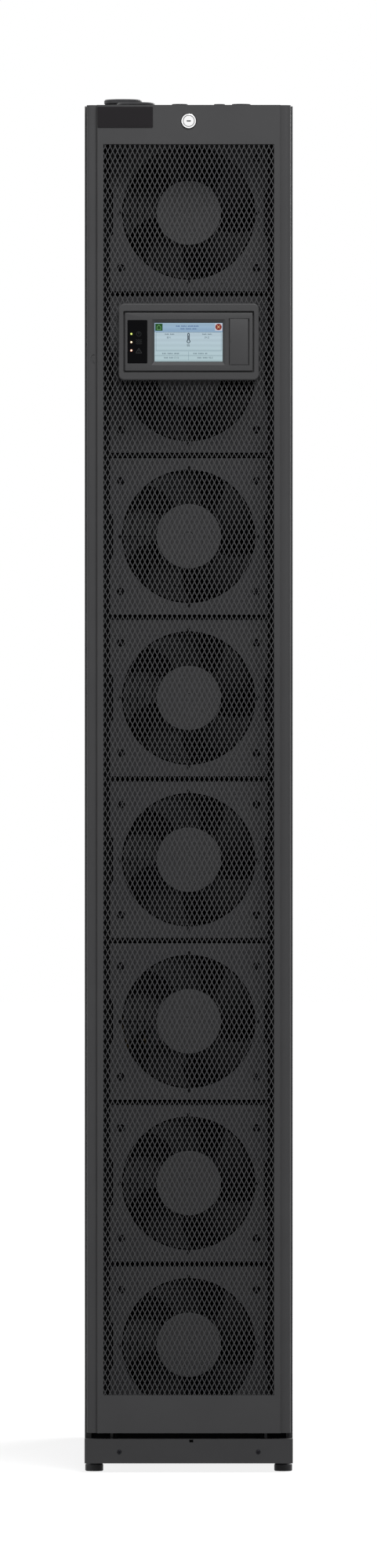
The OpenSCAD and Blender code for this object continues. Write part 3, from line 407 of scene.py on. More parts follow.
def rounded_loop(width, height, radius, y, centre=(0, 0), steps=6):
    """Points of an upright rounded rectangle at depth y, anticlockwise as seen from the front."""
    points = []
    for corner, (sx, sz) in enumerate(((1, 1), (-1, 1), (-1, -1), (1, -1))):
        middle = (centre[0] + sx * (width / 2 - radius), centre[1] + sz * (height / 2 - radius))
        points += [Vector((x, y, z)) for x, z in arc(radius, 90 * corner, 90, steps, middle)]
    return points


def loft_into(bm, loops, cap_first=True, cap_last=True, closed=False):
    """Joins loops of equally many points with quads; closed joins the last loop to the first."""
    rows = [[bm.verts.new(p) for p in loop] for loop in loops]
    pairs = list(zip(rows, rows[1:])) + ([(rows[-1], rows[0])] if closed else [])
    for a, b in pairs:
        for k in range(len(a)):
            n = (k + 1) % len(a)
            bm.faces.new((a[k], a[n], b[n], b[k]))
    if not closed and cap_first:
        bm.faces.new(rows[0])
    if not closed and cap_last:
        bm.faces.new(rows[-1])


def soft_plate(bm, width, height, radius, y_front, y_back, edge, centre=(0, 0), steps=6):
    """An upright rounded plate whose front edge is rolled over with radius edge."""
    loops = [rounded_loop(width, height, radius, y_back, centre, steps)]
    for inset, back in rolled_edge(edge, 3):
        loops.append(rounded_loop(width - 2 * inset, height - 2 * inset, max(radius - inset, 0.0001),
                                  y_front + back, centre, steps))
    loft_into(bm, loops)


def applied(obj):
    """The object with its modifiers turned into plain mesh."""
    depsgraph = bpy.context.evaluated_depsgraph_get()
    mesh = bpy.data.meshes.new_from_object(obj.evaluated_get(depsgraph))
    obj.modifiers.clear()
    old = obj.data
    obj.data = mesh
    mesh.name = obj.name
    bpy.data.meshes.remove(old)
    return obj


def carve(obj, bm_cutter):
    """Cuts a closed cutter out of a piece."""
    mesh = bpy.data.meshes.new("cutter")
    bmesh.ops.recalc_face_normals(bm_cutter, faces=bm_cutter.faces)
    bm_cutter.to_mesh(mesh)
    bm_cutter.free()
    cutter = bpy.data.objects.new("cutter", mesh)
    bpy.context.scene.collection.objects.link(cutter)
    boolean = obj.modifiers.new("cut", "BOOLEAN")
    boolean.operation = "DIFFERENCE"
    boolean.solver = "EXACT"
    boolean.object = cutter
    applied(obj)
    bpy.data.objects.remove(cutter)
    bpy.data.meshes.remove(mesh)
    return obj


def bevelled(obj, width, segments=2, angle=40):
    """Breaks the sharp edges of a piece."""
    bevel = obj.modifiers.new("edges", "BEVEL")
    bevel.width = width
    bevel.segments = segments
    bevel.limit_method = "ANGLE"
    bevel.angle_limit = math.radians(angle)
    applied(obj)
    return smoothed(obj, 30)


def lathe_into(bm, profile, centre, axis="Y", steps=64, ring=False):
    """Turns a profile of (radius, place along the axis) pairs about an axis through centre."""
    loops = []
    for radius, place in profile:
        circle = arc(radius, 0, 360, steps)[:-1]
        loops.append([Vector(centre) + Vector((u, place, v) if axis == "Y" else (u, v, place))
                      for u, v in circle])
    loft_into(bm, loops, closed=ring)


def finish_piece(obj, body, slot, *replaced):
    """Hides the CAD nodes that a piece stands for and hangs the piece on the body that it moves with; the
    slot is not used.
    """
    if replaced:
        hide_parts(*replaced)
    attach(obj, body)
    return obj


# ---- Perforated sheets ----
def sheet_tile(name, pitch_x, pitch_z, hole_w, hole_h, thickness):
    """One cell of the sheet: a diamond of steel with a diamond hole, closed front and back."""
    bm = bmesh.new()
    corners = ((1, 0), (0, 1), (-1, 0), (0, -1))

    def diamond(half_w, half_h, y):
        return [Vector((sx * half_w, y, sz * half_h)) for sx, sz in corners]

    outer_front = diamond(pitch_x / 2, pitch_z, 0)
    inner_front = diamond(hole_w / 2, hole_h / 2, 0)
    inner_back = diamond(hole_w / 2, hole_h / 2, thickness)
    outer_back = diamond(pitch_x / 2, pitch_z, thickness)
    loft_into(bm, [outer_front, inner_front, inner_back, outer_back], cap_first=False, cap_last=False)
    bmesh.ops.recalc_face_normals(bm, faces=bm.faces)
    mesh = bpy.data.meshes.new(name)
    bm.to_mesh(mesh)
    bm.free()
    obj = bpy.data.objects.new(name, mesh)
    bpy.context.scene.collection.objects.link(obj)
    return obj


def perforation_tree():
    """Geometry Nodes that set staggered rows of a cell side by side, leave out a window, and weld them."""
    tree = bpy.data.node_groups.new("staggered_perforation", "GeometryNodeTree")
    interface = tree.interface
    interface.new_socket("Geometry", in_out="OUTPUT", socket_type="NodeSocketGeometry")
    for name, kind in (("Cell", "NodeSocketObject"), ("Columns", "NodeSocketInt"),
                       ("Row pairs", "NodeSocketInt"),
                       ("Column pitch", "NodeSocketFloat"), ("Row pitch", "NodeSocketFloat"),
                       ("First cell", "NodeSocketVector"), ("Window centre", "NodeSocketVector"),
                       ("Window half width", "NodeSocketFloat"), ("Window half height", "NodeSocketFloat"),
                       ("Material", "NodeSocketMaterial")):
        interface.new_socket(name, in_out="INPUT", socket_type=kind)
    source = tree.nodes.new("NodeGroupInput").outputs

    def worked_out(operation, a, b):
        return add_node(tree, "ShaderNodeMath", {"operation": operation}, i0=a, i1=b).outputs[0]

    def times(a, b):
        return worked_out("MULTIPLY", a, b)

    width = times(worked_out("SUBTRACT", source["Columns"], 1.0), source["Column pitch"])
    height = times(worked_out("SUBTRACT", source["Row pairs"], 1.0), times(source["Row pitch"], 2.0))
    grid = add_node(tree, "GeometryNodeMeshGrid", Size_X=width, Size_Y=height, Vertices_X=source["Columns"],
                    Vertices_Y=source["Row pairs"])
    upright = add_node(tree, "GeometryNodeTransform", Geometry=grid.outputs[0], Rotation=(math.pi / 2, 0, 0))
    corner = add_node(tree, "ShaderNodeCombineXYZ", X=times(width, 0.5), Z=times(height, 0.5))
    first = add_node(tree, "ShaderNodeVectorMath", {"operation": "ADD"}, i0=corner.outputs[0],
                     i1=source["First cell"])
    even = add_node(tree, "GeometryNodeTransform", Geometry=upright.outputs[0], Translation=first.outputs[0])
    stagger = add_node(tree, "ShaderNodeCombineXYZ", X=times(source["Column pitch"], -0.5),
                       Z=source["Row pitch"])
    odd = add_node(tree, "GeometryNodeTransform", Geometry=even.outputs[0], Translation=stagger.outputs[0])
    both = tree.nodes.new("GeometryNodeJoinGeometry")
    tree.links.new(even.outputs[0], both.inputs[0])
    tree.links.new(odd.outputs[0], both.inputs[0])
    # leave out the cells inside the window
    place = tree.nodes.new("GeometryNodeInputPosition")
    offset = add_node(tree, "ShaderNodeVectorMath", {"operation": "SUBTRACT"}, i0=place.outputs[0],
                      i1=source["Window centre"])
    distance = add_node(tree, "ShaderNodeVectorMath", {"operation": "ABSOLUTE"}, i0=offset.outputs[0])
    away = add_node(tree, "ShaderNodeSeparateXYZ", Vector=distance.outputs[0])
    inside = times(worked_out("LESS_THAN", away.outputs[0], source["Window half width"]),
                   worked_out("LESS_THAN", away.outputs[2], source["Window half height"]))
    kept = add_node(tree, "GeometryNodeDeleteGeometry", {"domain": "POINT"}, Geometry=both.outputs[0],
                    Selection=inside)
    cell = add_node(tree, "GeometryNodeObjectInfo", Object=source["Cell"])
    copies = add_node(tree, "GeometryNodeInstanceOnPoints", Points=kept.outputs[0],
                      Instance=cell.outputs["Geometry"])
    real = add_node(tree, "GeometryNodeRealizeInstances", Geometry=copies.outputs[0])
    welded = add_node(tree, "GeometryNodeMergeByDistance", Geometry=real.outputs[0], Distance=0.00002)
    painted = add_node(tree, "GeometryNodeSetMaterial", Geometry=welded.outputs[0],
                       Material=source["Material"])
    add_node(tree, "NodeGroupOutput", Geometry=painted.outputs[0])
    return tree


def perforated_piece(name, tree, values):
    """A plain mesh made by the perforation tree from named values."""
    mesh = bpy.data.meshes.new(name)
    obj = bpy.data.objects.new(name, mesh)
    bpy.context.scene.collection.objects.link(obj)
    modifier = obj.modifiers.new("perforation", "NODES")
    modifier.node_group = tree
    for item in tree.interface.items_tree:
        if item.in_out == "INPUT" and item.name in values:
            modifier[item.identifier] = values[item.name]
    applied(obj)
    close_sheet_edges(obj.data)
    return obj


def close_sheet_edges(mesh):
    """Walls along the outer boundary, between the front face and the back face of a sheet."""
    bm = bmesh.new()
    bm.from_mesh(mesh)
    front = min(v.co.y for v in bm.verts)
    back_verts = {}
    for v in bm.verts:
        if v.co.y > front + 0.1 * MM:
            back_verts[(round(v.co.x, 5), round(v.co.z, 5))] = v
    rim = [e for e in bm.edges if e.is_boundary and e.verts[0].co.y < front + 0.1 * MM]
    for edge in rim:
        a, b = edge.verts
        partners = [back_verts.get((round(v.co.x, 5), round(v.co.z, 5))) for v in (b, a)]
        if all(partners):
            bm.faces.new((a, b, *partners))
    bmesh.ops.recalc_face_normals(bm, faces=bm.faces)
    bm.to_mesh(mesh)
    bm.free()


def joint_place(name):
    """Where a joint of the record turns, in metres."""
    return next(joint["pos_m"] for joint in frame["record"]["behaviour"]["joints"] if joint["name"] == name)


# ---- Sizes and colours that a user would change ----
class CoolingDoorSettings(bpy.types.PropertyGroup):
    column_pitch: FloatProperty(name="Column pitch", description="Distance between diamond columns",
                                default=7.143 * MM, unit="LENGTH", subtype="DISTANCE")
    row_pitch: FloatProperty(name="Row pitch", description="Distance between staggered rows",
                             default=7.12 * MM, unit="LENGTH", subtype="DISTANCE")
    hole_width: FloatProperty(name="Hole width", description="Width of one diamond hole", default=5.95 * MM,
                              unit="LENGTH", subtype="DISTANCE")
    hole_height: FloatProperty(name="Hole height", description="Height of one diamond hole",
                               default=11.8 * MM, unit="LENGTH", subtype="DISTANCE")
    edge_radius: FloatProperty(name="Edge radius", description="Rolled edges of the raised middle",
                               default=2.2 * MM, unit="LENGTH", subtype="DISTANCE")


class CoolingDisplaySettings(bpy.types.PropertyGroup):
    screen_strength: FloatProperty(name="Screen brightness", description="Glow of the colour screen",
                                   default=0.925)
    screen_header: FloatVectorProperty(name="Screen header", description="Header colour of the screen",
                                       size=4, subtype="COLOR", default=linear("9AB4C8"))
    screen_header_low: FloatVectorProperty(name="Screen header, lower edge",
                                           description="Header colour above the dividing line",
                                           size=4, subtype="COLOR", default=linear("8BA9C6"))
    led_strength: FloatProperty(name="Lamp brightness", description="Glow of the three status lamps",
                                default=1.6)


class CoolingStageSettings(bpy.types.PropertyGroup):
    lens: FloatProperty(name="Lens", description="Focal length of the camera in millimetres", default=300.0)
    frame_height: FloatProperty(name="Framed height",
                                description="Height that the view takes in at the front door",
                                default=2.2571, unit="LENGTH", subtype="DISTANCE")
    aim_height: FloatProperty(name="Aim height", description="Height of the camera above the floor",
                              default=0.9919, unit="LENGTH", subtype="DISTANCE")
    key_power: FloatProperty(name="Key light", description="Power of the large light above the front",
                             default=262.0)
    fill_power: FloatProperty(name="Fill light", description="Power of the light from the left", default=45.0)
    rear_power: FloatProperty(name="Rear light", description="Power of the light behind the cabinet",
                              default=170.0)


# ---- Door ----
DOOR_LOW, DOOR_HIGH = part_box("front_door")
GRILLE_LOW, GRILLE_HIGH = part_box("front_grille")
HOUSING_LOW, HOUSING_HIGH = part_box("display_housing")
FACE_LOW, FACE_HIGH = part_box("display_face")
DOOR_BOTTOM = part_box("base_frame")[1][2] - 6.6 * MM
SHEET = 1.5 * MM  # thickness of the door's steel
FLANK = 14.7 * MM  # width of each stepped flank
STEP = 6 * MM  # how far the flanks lie behind the raised middle
ROLL = 7 * MM  # radius of the outer edges
DOOR_LIP = 14 * MM  # lip folded inwards along the back
OPENING_SIDE = (GRILLE_HIGH[0] - GRILLE_LOW[0]) / 2 - 7 * MM
OPENING_BOTTOM = GRILLE_LOW[2] + 9 * MM
OPENING_TOP = GRILLE_HIGH[2] - 9 * MM


def door_plan(inset, back, edge_radius):
    """Half outline of the folded door sheet in plan, from the middle out to the right back corner."""
    front = DOOR_LOW[1]
    flat_half = DOOR_HIGH[0] - FLANK
    edge = arc(edge_radius - inset, 90, -90, 4, (flat_half - edge_radius, -front - edge_radius))
    fold = arc(ROLL - inset, 90, -90, 8, (DOOR_HIGH[0] - ROLL, -front - STEP - ROLL))
    return ([(0.0, front + inset)] + [(x, -y) for x, y in edge] + [(flat_half - inset, front + STEP + inset)]
            + [(x, -y) for x, y in fold] + [(DOOR_HIGH[0] - inset, back)])


def mirrored_plan(points):
    """The whole outline in plan, from its right half."""
    return [(-x, y) for x, y in reversed(points[1:])] + points


class COOLING_OT_front_door(bpy.types.Operator):
    """Folded steel door with a raised middle, stepped flanks and a finger pull"""
    bl_idname = "cooling.front_door"
    bl_label = "Front door shell"

    def execute(self, context):
        radius = context.scene.cooling_door.edge_radius
        front, back = DOOR_LOW[1], DOOR_HIGH[1]
        outer = mirrored_plan(door_plan(0, back, radius))
        inner = mirrored_plan(door_plan(SHEET, back, radius))
        inner[0] = (inner[0][0], back - SHEET)
        inner[-1] = (inner[-1][0], back - SHEET)
        lip = [(DOOR_HIGH[0] - DOOR_LIP, back - SHEET), (DOOR_HIGH[0] - DOOR_LIP, back)]
        section = outer + lip[::-1] + inner[::-1] + [(-x, y) for x, y in lip]
        low, high = DOOR_BOTTOM, DOOR_HIGH[2]
        shell = piece_from_bmesh("door_shell", solid(loft_into, raised(section, low, high)), "door_coat")
        # closing plates at the top and bottom
        plates = bmesh.new()
        for z in (low, high - SHEET):
            loft_into(plates, raised(mirrored_plan(door_plan(SHEET * 0.5, back - SHEET * 0.5, radius)),
                                     z, z + SHEET))
        ends = piece_from_bmesh("door_end_plates", plates, "door_coat")
        carve(shell, solid(box_into, (-OPENING_SIDE, front - 0.01, OPENING_BOTTOM),
                           (OPENING_SIDE, front + 4 * MM, OPENING_TOP)))
        # finger pull: a crescent pressed into the left flank
        pull = (-(DOOR_HIGH[0] - FLANK) - 2 * MM, (HOUSING_LOW[2] + HOUSING_HIGH[2]) / 2 - 24.7 * MM)
        crescent = arc(7.2, 105, 150, 12)
        crescent += [(1.5 + 5.2 * x, 6.2 * y) for x, y in arc(1.0, 242, -124, 12)]
        depths = (front - 2 * MM, front + STEP + 0.9 * MM)
        carve(shell, solid(loft_into, stacked([(y, crescent) for y in depths], pull)))
        carve(shell, solid(lathe_into, [(9.1 * MM, -0.01), (9.1 * MM, 0.005)],
                           (0, front, front_middle(*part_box("door_lock"))[1])))
        # the ears that turn on the hinge pins
        ears = bmesh.new()
        pin_y, pin_z = front + 19.5 * MM, DOOR_BOTTOM - 5.6 * MM
        ear = [(-8, 6.4), (8, 6.4)] + arc(6, 0, -180, 9)
        for side in (-1, 1):
            loft_into(ears, [[Vector((x, pin_y + u * MM, pin_z + v * MM)) for u, v in ear]
                             for x in sorted((side * 109 * MM, side * 113 * MM))])
        hinge_ears = piece_from_bmesh("door_hinge_ears", ears, "door_coat")
        bevelled(shell, 0.35 * MM)
        for piece in (shell, ends, hinge_ears):
            finish_piece(piece, "front_door", "door_paint", "front_door")
        return {"FINISHED"}


class COOLING_OT_front_mesh(bpy.types.Operator):
    """Perforated steel sheet behind the front door's opening"""
    bl_idname = "cooling.front_mesh"
    bl_label = "Front perforated sheet"

    def execute(self, context):
        sizes = context.scene.cooling_door
        thickness = GRILLE_HIGH[1] - GRILLE_LOW[1]
        cell = sheet_tile("cell", sizes.column_pitch, sizes.row_pitch, sizes.hole_width, sizes.hole_height,
                          thickness)
        tree = perforation_tree()
        window = Vector(((HOUSING_LOW[0] + HOUSING_HIGH[0]) / 2, GRILLE_LOW[1],
                         (HOUSING_LOW[2] + HOUSING_HIGH[2]) / 2))
        first_x = -123.9 * MM
        # the rows are set so that a row of holes ends just above the opening's top edge
        top_z = OPENING_TOP + 4.32 * MM
        pairs = int(math.ceil((top_z - OPENING_BOTTOM + sizes.row_pitch) / (2 * sizes.row_pitch)))
        bottom_z = top_z - (2 * pairs - 1) * sizes.row_pitch
        upper = pairs // 2
        lower = pairs - upper
        for name, start, row_pairs in (("mesh_lower", bottom_z, lower),
                                       ("mesh_upper", bottom_z + 2 * lower * sizes.row_pitch, upper)):
            piece = perforated_piece(name, tree, {
                "Cell": cell, "Columns": 36, "Row pairs": row_pairs, "Column pitch": sizes.column_pitch,
                "Row pitch": sizes.row_pitch, "First cell": (first_x, GRILLE_LOW[1], start),
                "Window centre": window, "Window half width": 91 * MM, "Window half height": 41 * MM,
                "Material": MATERIALS["mesh_coat"]})
            finish_piece(piece, "front_door", "grille_paint", "front_grille")
        bpy.data.objects.remove(cell)
        return {"FINISHED"}


class COOLING_OT_door_trim(bpy.types.Operator):
    """Bare name plate and chrome quarter-turn lock"""
    bl_idname = "cooling.door_trim"
    bl_label = "Plate and lock"

    def execute(self, context):
        low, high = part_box("name_plate")
        centre = front_middle(low, high)
        width, height = high[0] - low[0], high[2] - low[2]
        plate = solid(soft_plate, width, height, 1.2 * MM, low[1], high[1], 0.5 * MM, centre)
        field = solid(soft_plate, width - 5 * MM, height - 5 * MM, 1 * MM, low[1] - 0.15 * MM,
                      low[1] + 0.2 * MM, 0.15 * MM, centre)
        for name, bm in (("bare_plate", plate), ("bare_plate_inlay", field)):
            finish_piece(piece_from_bmesh(name, bm, "plate_abs", 35), "front_door", "plate_dark",
                         "name_plate")
        low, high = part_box("door_lock")
        lock_z = (low[2] + high[2]) / 2
        axis, front, back = (0, 0, lock_z), low[1], high[1]
        head = piece_from_bmesh("lock_head", solid(lathe_into, turned(
            [(10.5, 2.5), (10.5, 0.8), (10.2, 0.3), (9.6, 0), (8.5, 0), (8.2, 0.5), (7.8, 0.5), (7.5, 0.05),
             (0.4, 0)],
            front), axis), "chrome", 40)
        carve(head, solid(box_into, (-3.1 * MM, front - 1 * MM, lock_z - 0.9 * MM),
                          (3.1 * MM, front + 2.0 * MM, lock_z + 0.9 * MM)))
        # painted shade: a dark insert in the keyway and a dark line in the head's groove stand for the shade
        # in these hollows
        keyway_shade = solid(box_into, (-3.0 * MM, front + 0.2 * MM, lock_z - 0.8 * MM),
                       (3.0 * MM, front + 1.9 * MM, lock_z + 0.8 * MM))
        lathe_into(keyway_shade, turned([(8.14, 0.49), (8.14, 0.2), (7.86, 0.2), (7.86, 0.49)], front), axis,
                   ring=True)
        dark = piece_from_bmesh("lock_keyway", keyway_shade, "screw_steel")
        barrel = turned([(9, 2.4), (9, 18.4), (8, 18.5), (4, 18.5)], front) + [(4 * MM, back - 3 * MM)]
        shank = piece_from_bmesh("lock_barrel", solid(lathe_into, barrel, axis), "zinc", 40)
        outline = arc(6, 45, 270, 18) + [(15, -4), (16.5, -3.4), (17, -2.4), (17, 2.4), (16.5, 3.4), (15, 4)]
        cam = solid(loft_into, stacked([(y, outline) for y in (back - 3 * MM, back)], (0, lock_z)))
        tongue = bevelled(piece_from_bmesh("lock_cam", cam, "zinc"), 0.3 * MM)
        # painted shadow: a thin black rubber ring around the head stands for the shade line around the lock
        shadow_ring = solid(lathe_into,
                       turned([(11.4, 2.5), (11.4, 2.0), (11.1, 1.8), (10.55, 1.8), (10.55, 2.5)], front),
                       axis, ring=True)
        finish_piece(piece_from_bmesh("lock_gasket", shadow_ring, "rubber", 40), "front_door", "door_paint")
        for piece in (head, dark, shank, tongue):
            finish_piece(piece, "door_lock", "lock_chrome", "door_lock")
        return {"FINISHED"}


class COOLING_OT_motor_caps(bpy.types.Operator):
    """Pressed steel cap on the front of each fan's motor"""
    bl_idname = "cooling.motor_caps"
    bl_label = "Motor caps"

    def execute(self, context):
        profile = [(46.6, 0.4), (46.6, -0.5), (46.2, -1.1), (45.4, -1.4), (34.0, -1.4), (33.2, -1.15),
                   (32.0, -1.15), (31.2, -1.4), (7.0, -1.4), (6.4, -0.9), (5.8, -0.9)]
        for k in range(1, 9):
            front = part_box(f"fan_rotor_{k}")[0][1]
            middle = (0.0, 0.0, front_middle(*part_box(f"fan_panel_{k}"))[1])
            bm = solid(lathe_into, turned(profile, front), middle, steps=72)
            finish_piece(piece_from_bmesh(f"motor_cap_{k}", bm, "hub_coat", 35), f"rotor_{k}", "rotor_black")
        return {"FINISHED"}


# ---- Display ----
DISPLAY_X, DISPLAY_Z = front_middle(HOUSING_LOW, HOUSING_HIGH)
SCREEN_SINK = 3.0  # how deep the screen lies behind the face, in millimetres


def upright_bar(bm, low, high, y_front, y_back):
    """A thin bar on the display, between two (x, z) corners in millimetres from the display's centre."""
    box_into(bm, (DISPLAY_X + low[0] * MM, y_front, DISPLAY_Z + low[1] * MM),
             (DISPLAY_X + high[0] * MM, y_back, DISPLAY_Z + high[1] * MM))


def flat_shape(bm, points, y_front, y_back):
    """A thin plate of a free outline, in millimetres from the display's centre."""
    loft_into(bm, stacked([(y_back, points), (y_front, points)], (DISPLAY_X, DISPLAY_Z)))


def disc_points(centre, radius, steps=32):
    """Points of a circle."""
    return arc(radius, 0, 360, steps, centre)[:-1]


def stroke(bm, points, width, y_front, y_back):
    """A thin line of constant width through points, each part a little past its ends to fill the joints."""
    for (ax, az), (bx, bz) in zip(points, points[1:]):
        length = math.hypot(bx - ax, bz - az)
        ux, uz = (bx - ax) / length * width / 2, (bz - az) / length * width / 2
        ax, az, bx, bz = ax - ux * 0.6, az - uz * 0.6, bx + ux * 0.6, bz + uz * 0.6
        flat_shape(bm, [(ax - uz, az + ux), (ax + uz, az - ux), (bx + uz, bz - ux), (bx - uz, bz + ux)],
                   y_front, y_back)


# strokes of a plain figure, and the ends of each stroke in a box one unit wide and high
SEGMENTS = {"0": "abcdef", "1": "bc", "2": "abged", "3": "abgcd", "4": "fgbc", "5": "afgcd", "6": "afgedc",
            "7": "abc", "8": "abcdefg", "9": "abcdfg"}
SEGMENT_ENDS = {"a": ((0, 1), (1, 1)), "b": ((1, 1), (1, 0.5)), "c": ((1, 0.5), (1, 0)),
                "d": ((0, 0), (1, 0)), "e": ((0, 0.5), (0, 0)), "f": ((0, 1), (0, 0.5)),
                "g": ((0, 0.5), (1, 0.5))}


def number_into(bm, text, left, base, height, y_front, y_back):
    """Plain figures drawn with up to seven strokes each, and dots."""
    width, x = height * 0.5, left
    for sign in text:
        if sign == ".":
            flat_shape(bm, [(x, base - 0.15), (x + 0.4, base - 0.15), (x + 0.4, base + 0.25),
                            (x, base + 0.25)], y_front, y_back)
            x += 0.9
            continue
        for name in SEGMENTS[sign]:
            stroke(bm, [(x + u * width, base + v * height) for u, v in SEGMENT_ENDS[name]],
                   0.36, y_front, y_back)
        x += width + 0.75


class COOLING_OT_display_case(bpy.types.Operator):
    """Rounded bezel on the door with the opening for the sunk face, and the vented box behind it"""
    bl_idname = "cooling.display_case"
    bl_label = "Display case"

    def execute(self, context):
        front, back, rear = HOUSING_LOW[1], GRILLE_LOW[1], HOUSING_HIGH[1]
        width, height = HOUSING_HIGH[0] - HOUSING_LOW[0], HOUSING_HIGH[2] - HOUSING_LOW[2]
        centre = (DISPLAY_X, DISPLAY_Z)
        radius, edge, gap = 8 * MM, 2.2 * MM, 4.4 * MM
        loops = [rounded_loop(width, height, radius, back, centre)]
        for inset, step in rolled_edge(edge, 4):
            loops.append(rounded_loop(width - 2 * inset, height - 2 * inset, radius - inset, front + step,
                                      centre))
        hole_w, hole_h = FACE_HIGH[0] - FACE_LOW[0] + gap, FACE_HIGH[2] - FACE_LOW[2] + gap
        for grow, corner, y in ((0.8, 2.0, front), (0, 1.6, front + 0.5 * MM), (0, 1.6, back - 3.5 * MM),
                                (-8, 2, back - 3.5 * MM), (-8, 2, back)):
            loops.append(rounded_loop(hole_w + grow * MM, hole_h + grow * MM, corner * MM, y, centre))
        bezel = piece_from_bmesh("display_bezel", solid(loft_into, loops, closed=True), "bezel_abs", 35)
        # the box behind the sheet: an open shell with a rim
        box_w, box_h = width - 17 * MM, height - 23 * MM
        loops = [rounded_loop(box_w - shrink * MM, box_h - shrink * MM, corner * MM, y, centre)
                 for shrink, corner, y in ((0, 3, back + 0.05 * MM), (0, 3, rear - 1 * MM), (2, 2, rear),
                                           (4, 1.5, rear - 2 * MM), (4, 1.5, back + 0.05 * MM))]
        case = solid(loft_into, loops, cap_first=False, cap_last=False)
        corners, verts = len(loops[0]), list(case.verts)
        rim_out, rim_in = verts[:corners], verts[-corners:]
        for k in range(corners):
            n = (k + 1) % corners
            case.faces.new((rim_out[k], rim_out[n], rim_in[n], rim_in[k]))
        rear_box = piece_from_bmesh("display_rear_box", case, "bezel_abs", 35)
        vents = bmesh.new()
        for k in range(-6, 7):
            box_into(vents, (DISPLAY_X + (9 * k - 1.5) * MM, HOUSING_HIGH[1] - 2.5 * MM, DISPLAY_Z - 14 * MM),
                     (DISPLAY_X + (9 * k + 1.5) * MM, HOUSING_HIGH[1] + 1 * MM, DISPLAY_Z + 14 * MM))
        carve(rear_box, vents)
        for piece in (bezel, rear_box):
            finish_piece(piece, "front_door", "bezel_plastic", "display_housing")
        return {"FINISHED"}


class COOLING_OT_display_face(bpy.types.Operator):
    """Sunk face plate with its screen opening, lamp window and flap recess"""
    bl_idname = "cooling.display_face"
    bl_label = "Display face"

    def execute(self, context):
        front = FACE_LOW[1]
        bm = solid(soft_plate, FACE_HIGH[0] - FACE_LOW[0], FACE_HIGH[2] - FACE_LOW[2], 1.4 * MM, front,
                   front + 5 * MM, 0.7 * MM, (DISPLAY_X, DISPLAY_Z))
        face = piece_from_bmesh("display_face_plate", bm, "face_abs", 35)
        # sloped frame around the screen
        middle = (DISPLAY_X - 0.3 * MM, DISPLAY_Z - 0.6 * MM)
        carve(face, solid(loft_into, [
            rounded_loop(width * MM, height * MM, 1.2 * MM, front + y * MM, middle)
            for y, width, height in ((-0.5, 107.2, 67.7), (SCREEN_SINK, 98.8, 56.6), (6, 98.8, 56.6))]))
        # seat of the lamp window
        window = (front_middle(*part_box("led_window"))[0], DISPLAY_Z)
        carve(face, solid(loft_into, [rounded_loop(28.8 * MM, 62.6 * MM, 1 * MM, front + y, window)
                                      for y in (-0.5 * MM, 2.1 * MM)]))
        # recess of the flap, the finger gap beside it and the mouth of the pocket behind it
        flap_low, flap_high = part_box("service_flap")
        half = (flap_high[2] - flap_low[2]) / 2 - 2.6 * MM
        for left, right, top, y0, y1 in ((flap_low[0] - 0.4 * MM, flap_high[0] + 1.7 * MM, 0.45, -0.5, 2.8),
                                         (flap_high[0] + 0.15 * MM, flap_high[0] + 1.75 * MM, 0.4, -0.5, 4.3),
                                         (flap_low[0] + 2.9 * MM, flap_high[0] - 1 * MM, -3, 1, 6)):
            carve(face, solid(box_into, (left, front + y0 * MM, DISPLAY_Z - half - top * MM),
                              (right, front + y1 * MM, DISPLAY_Z + half + top * MM)))
        mouth, end = front + 4.9 * MM, front + 25 * MM
        left, right = flap_low[0] + 1.5 * MM, flap_high[0] + 0.5 * MM

        def ring(shrink, left_wall, right_wall, y):
            up = half - shrink * MM
            x0, x1 = left + left_wall * MM, right - right_wall * MM
            return [Vector((x, y, DISPLAY_Z + z)) for x, z in ((x0, up), (x1, up), (x1, -up), (x0, -up))]

        pocket = solid(loft_into, [ring(1.5, 0, 0, mouth), ring(1.5, 0, 0, end), ring(3, 1.4, 1.5, end),
                                   ring(3, 1.4, 1.5, mouth)], closed=True)
        sleeve = piece_from_bmesh("service_pocket", pocket, "face_abs")
        bottom = solid(box_into, (left + 0.2 * MM, end - 1.5 * MM, DISPLAY_Z - half + 1.7 * MM),
                       (right - 0.2 * MM, end - 0.05 * MM, DISPLAY_Z + half - 1.7 * MM))
        base = bevelled(piece_from_bmesh("service_pocket_floor", bottom, "face_abs"), 0.2 * MM)
        for piece in (face, sleeve, base):
            finish_piece(piece, "front_door", "face_plastic", "display_face")
        # hinged service flap with a finger notch
        flap_front = flap_low[1] + 0.1 * MM
        left, right = flap_low[0] + 1.1 * MM, flap_high[0]
        flap = solid(soft_plate, right - left, 2 * half, 0.8 * MM, flap_front, flap_front + 1.75 * MM,
                     0.45 * MM, ((left + right) / 2, DISPLAY_Z))
        door = piece_from_bmesh("flap_plate", flap, "face_abs", 35)
        carve(door, solid(loft_into, [
            rounded_loop(1.4 * MM, 2.6 * MM, 0.6 * MM, flap_front + y, (left + 1.5 * MM, DISPLAY_Z))
            for y in (-1 * MM, 0.9 * MM)]))
        pin = solid(lathe_into, [(0.7 * MM, flap_low[2]), (0.7 * MM, flap_high[2])],
                    (left, (flap_low[1] + flap_high[1]) / 2, 0), axis="Z", steps=24)
        rod = piece_from_bmesh("flap_hinge_pin", pin, "face_abs", 40)
        for piece in (door, rod):
            finish_piece(piece, "service_flap", "face_plastic", "service_flap")
        return {"FINISHED"}


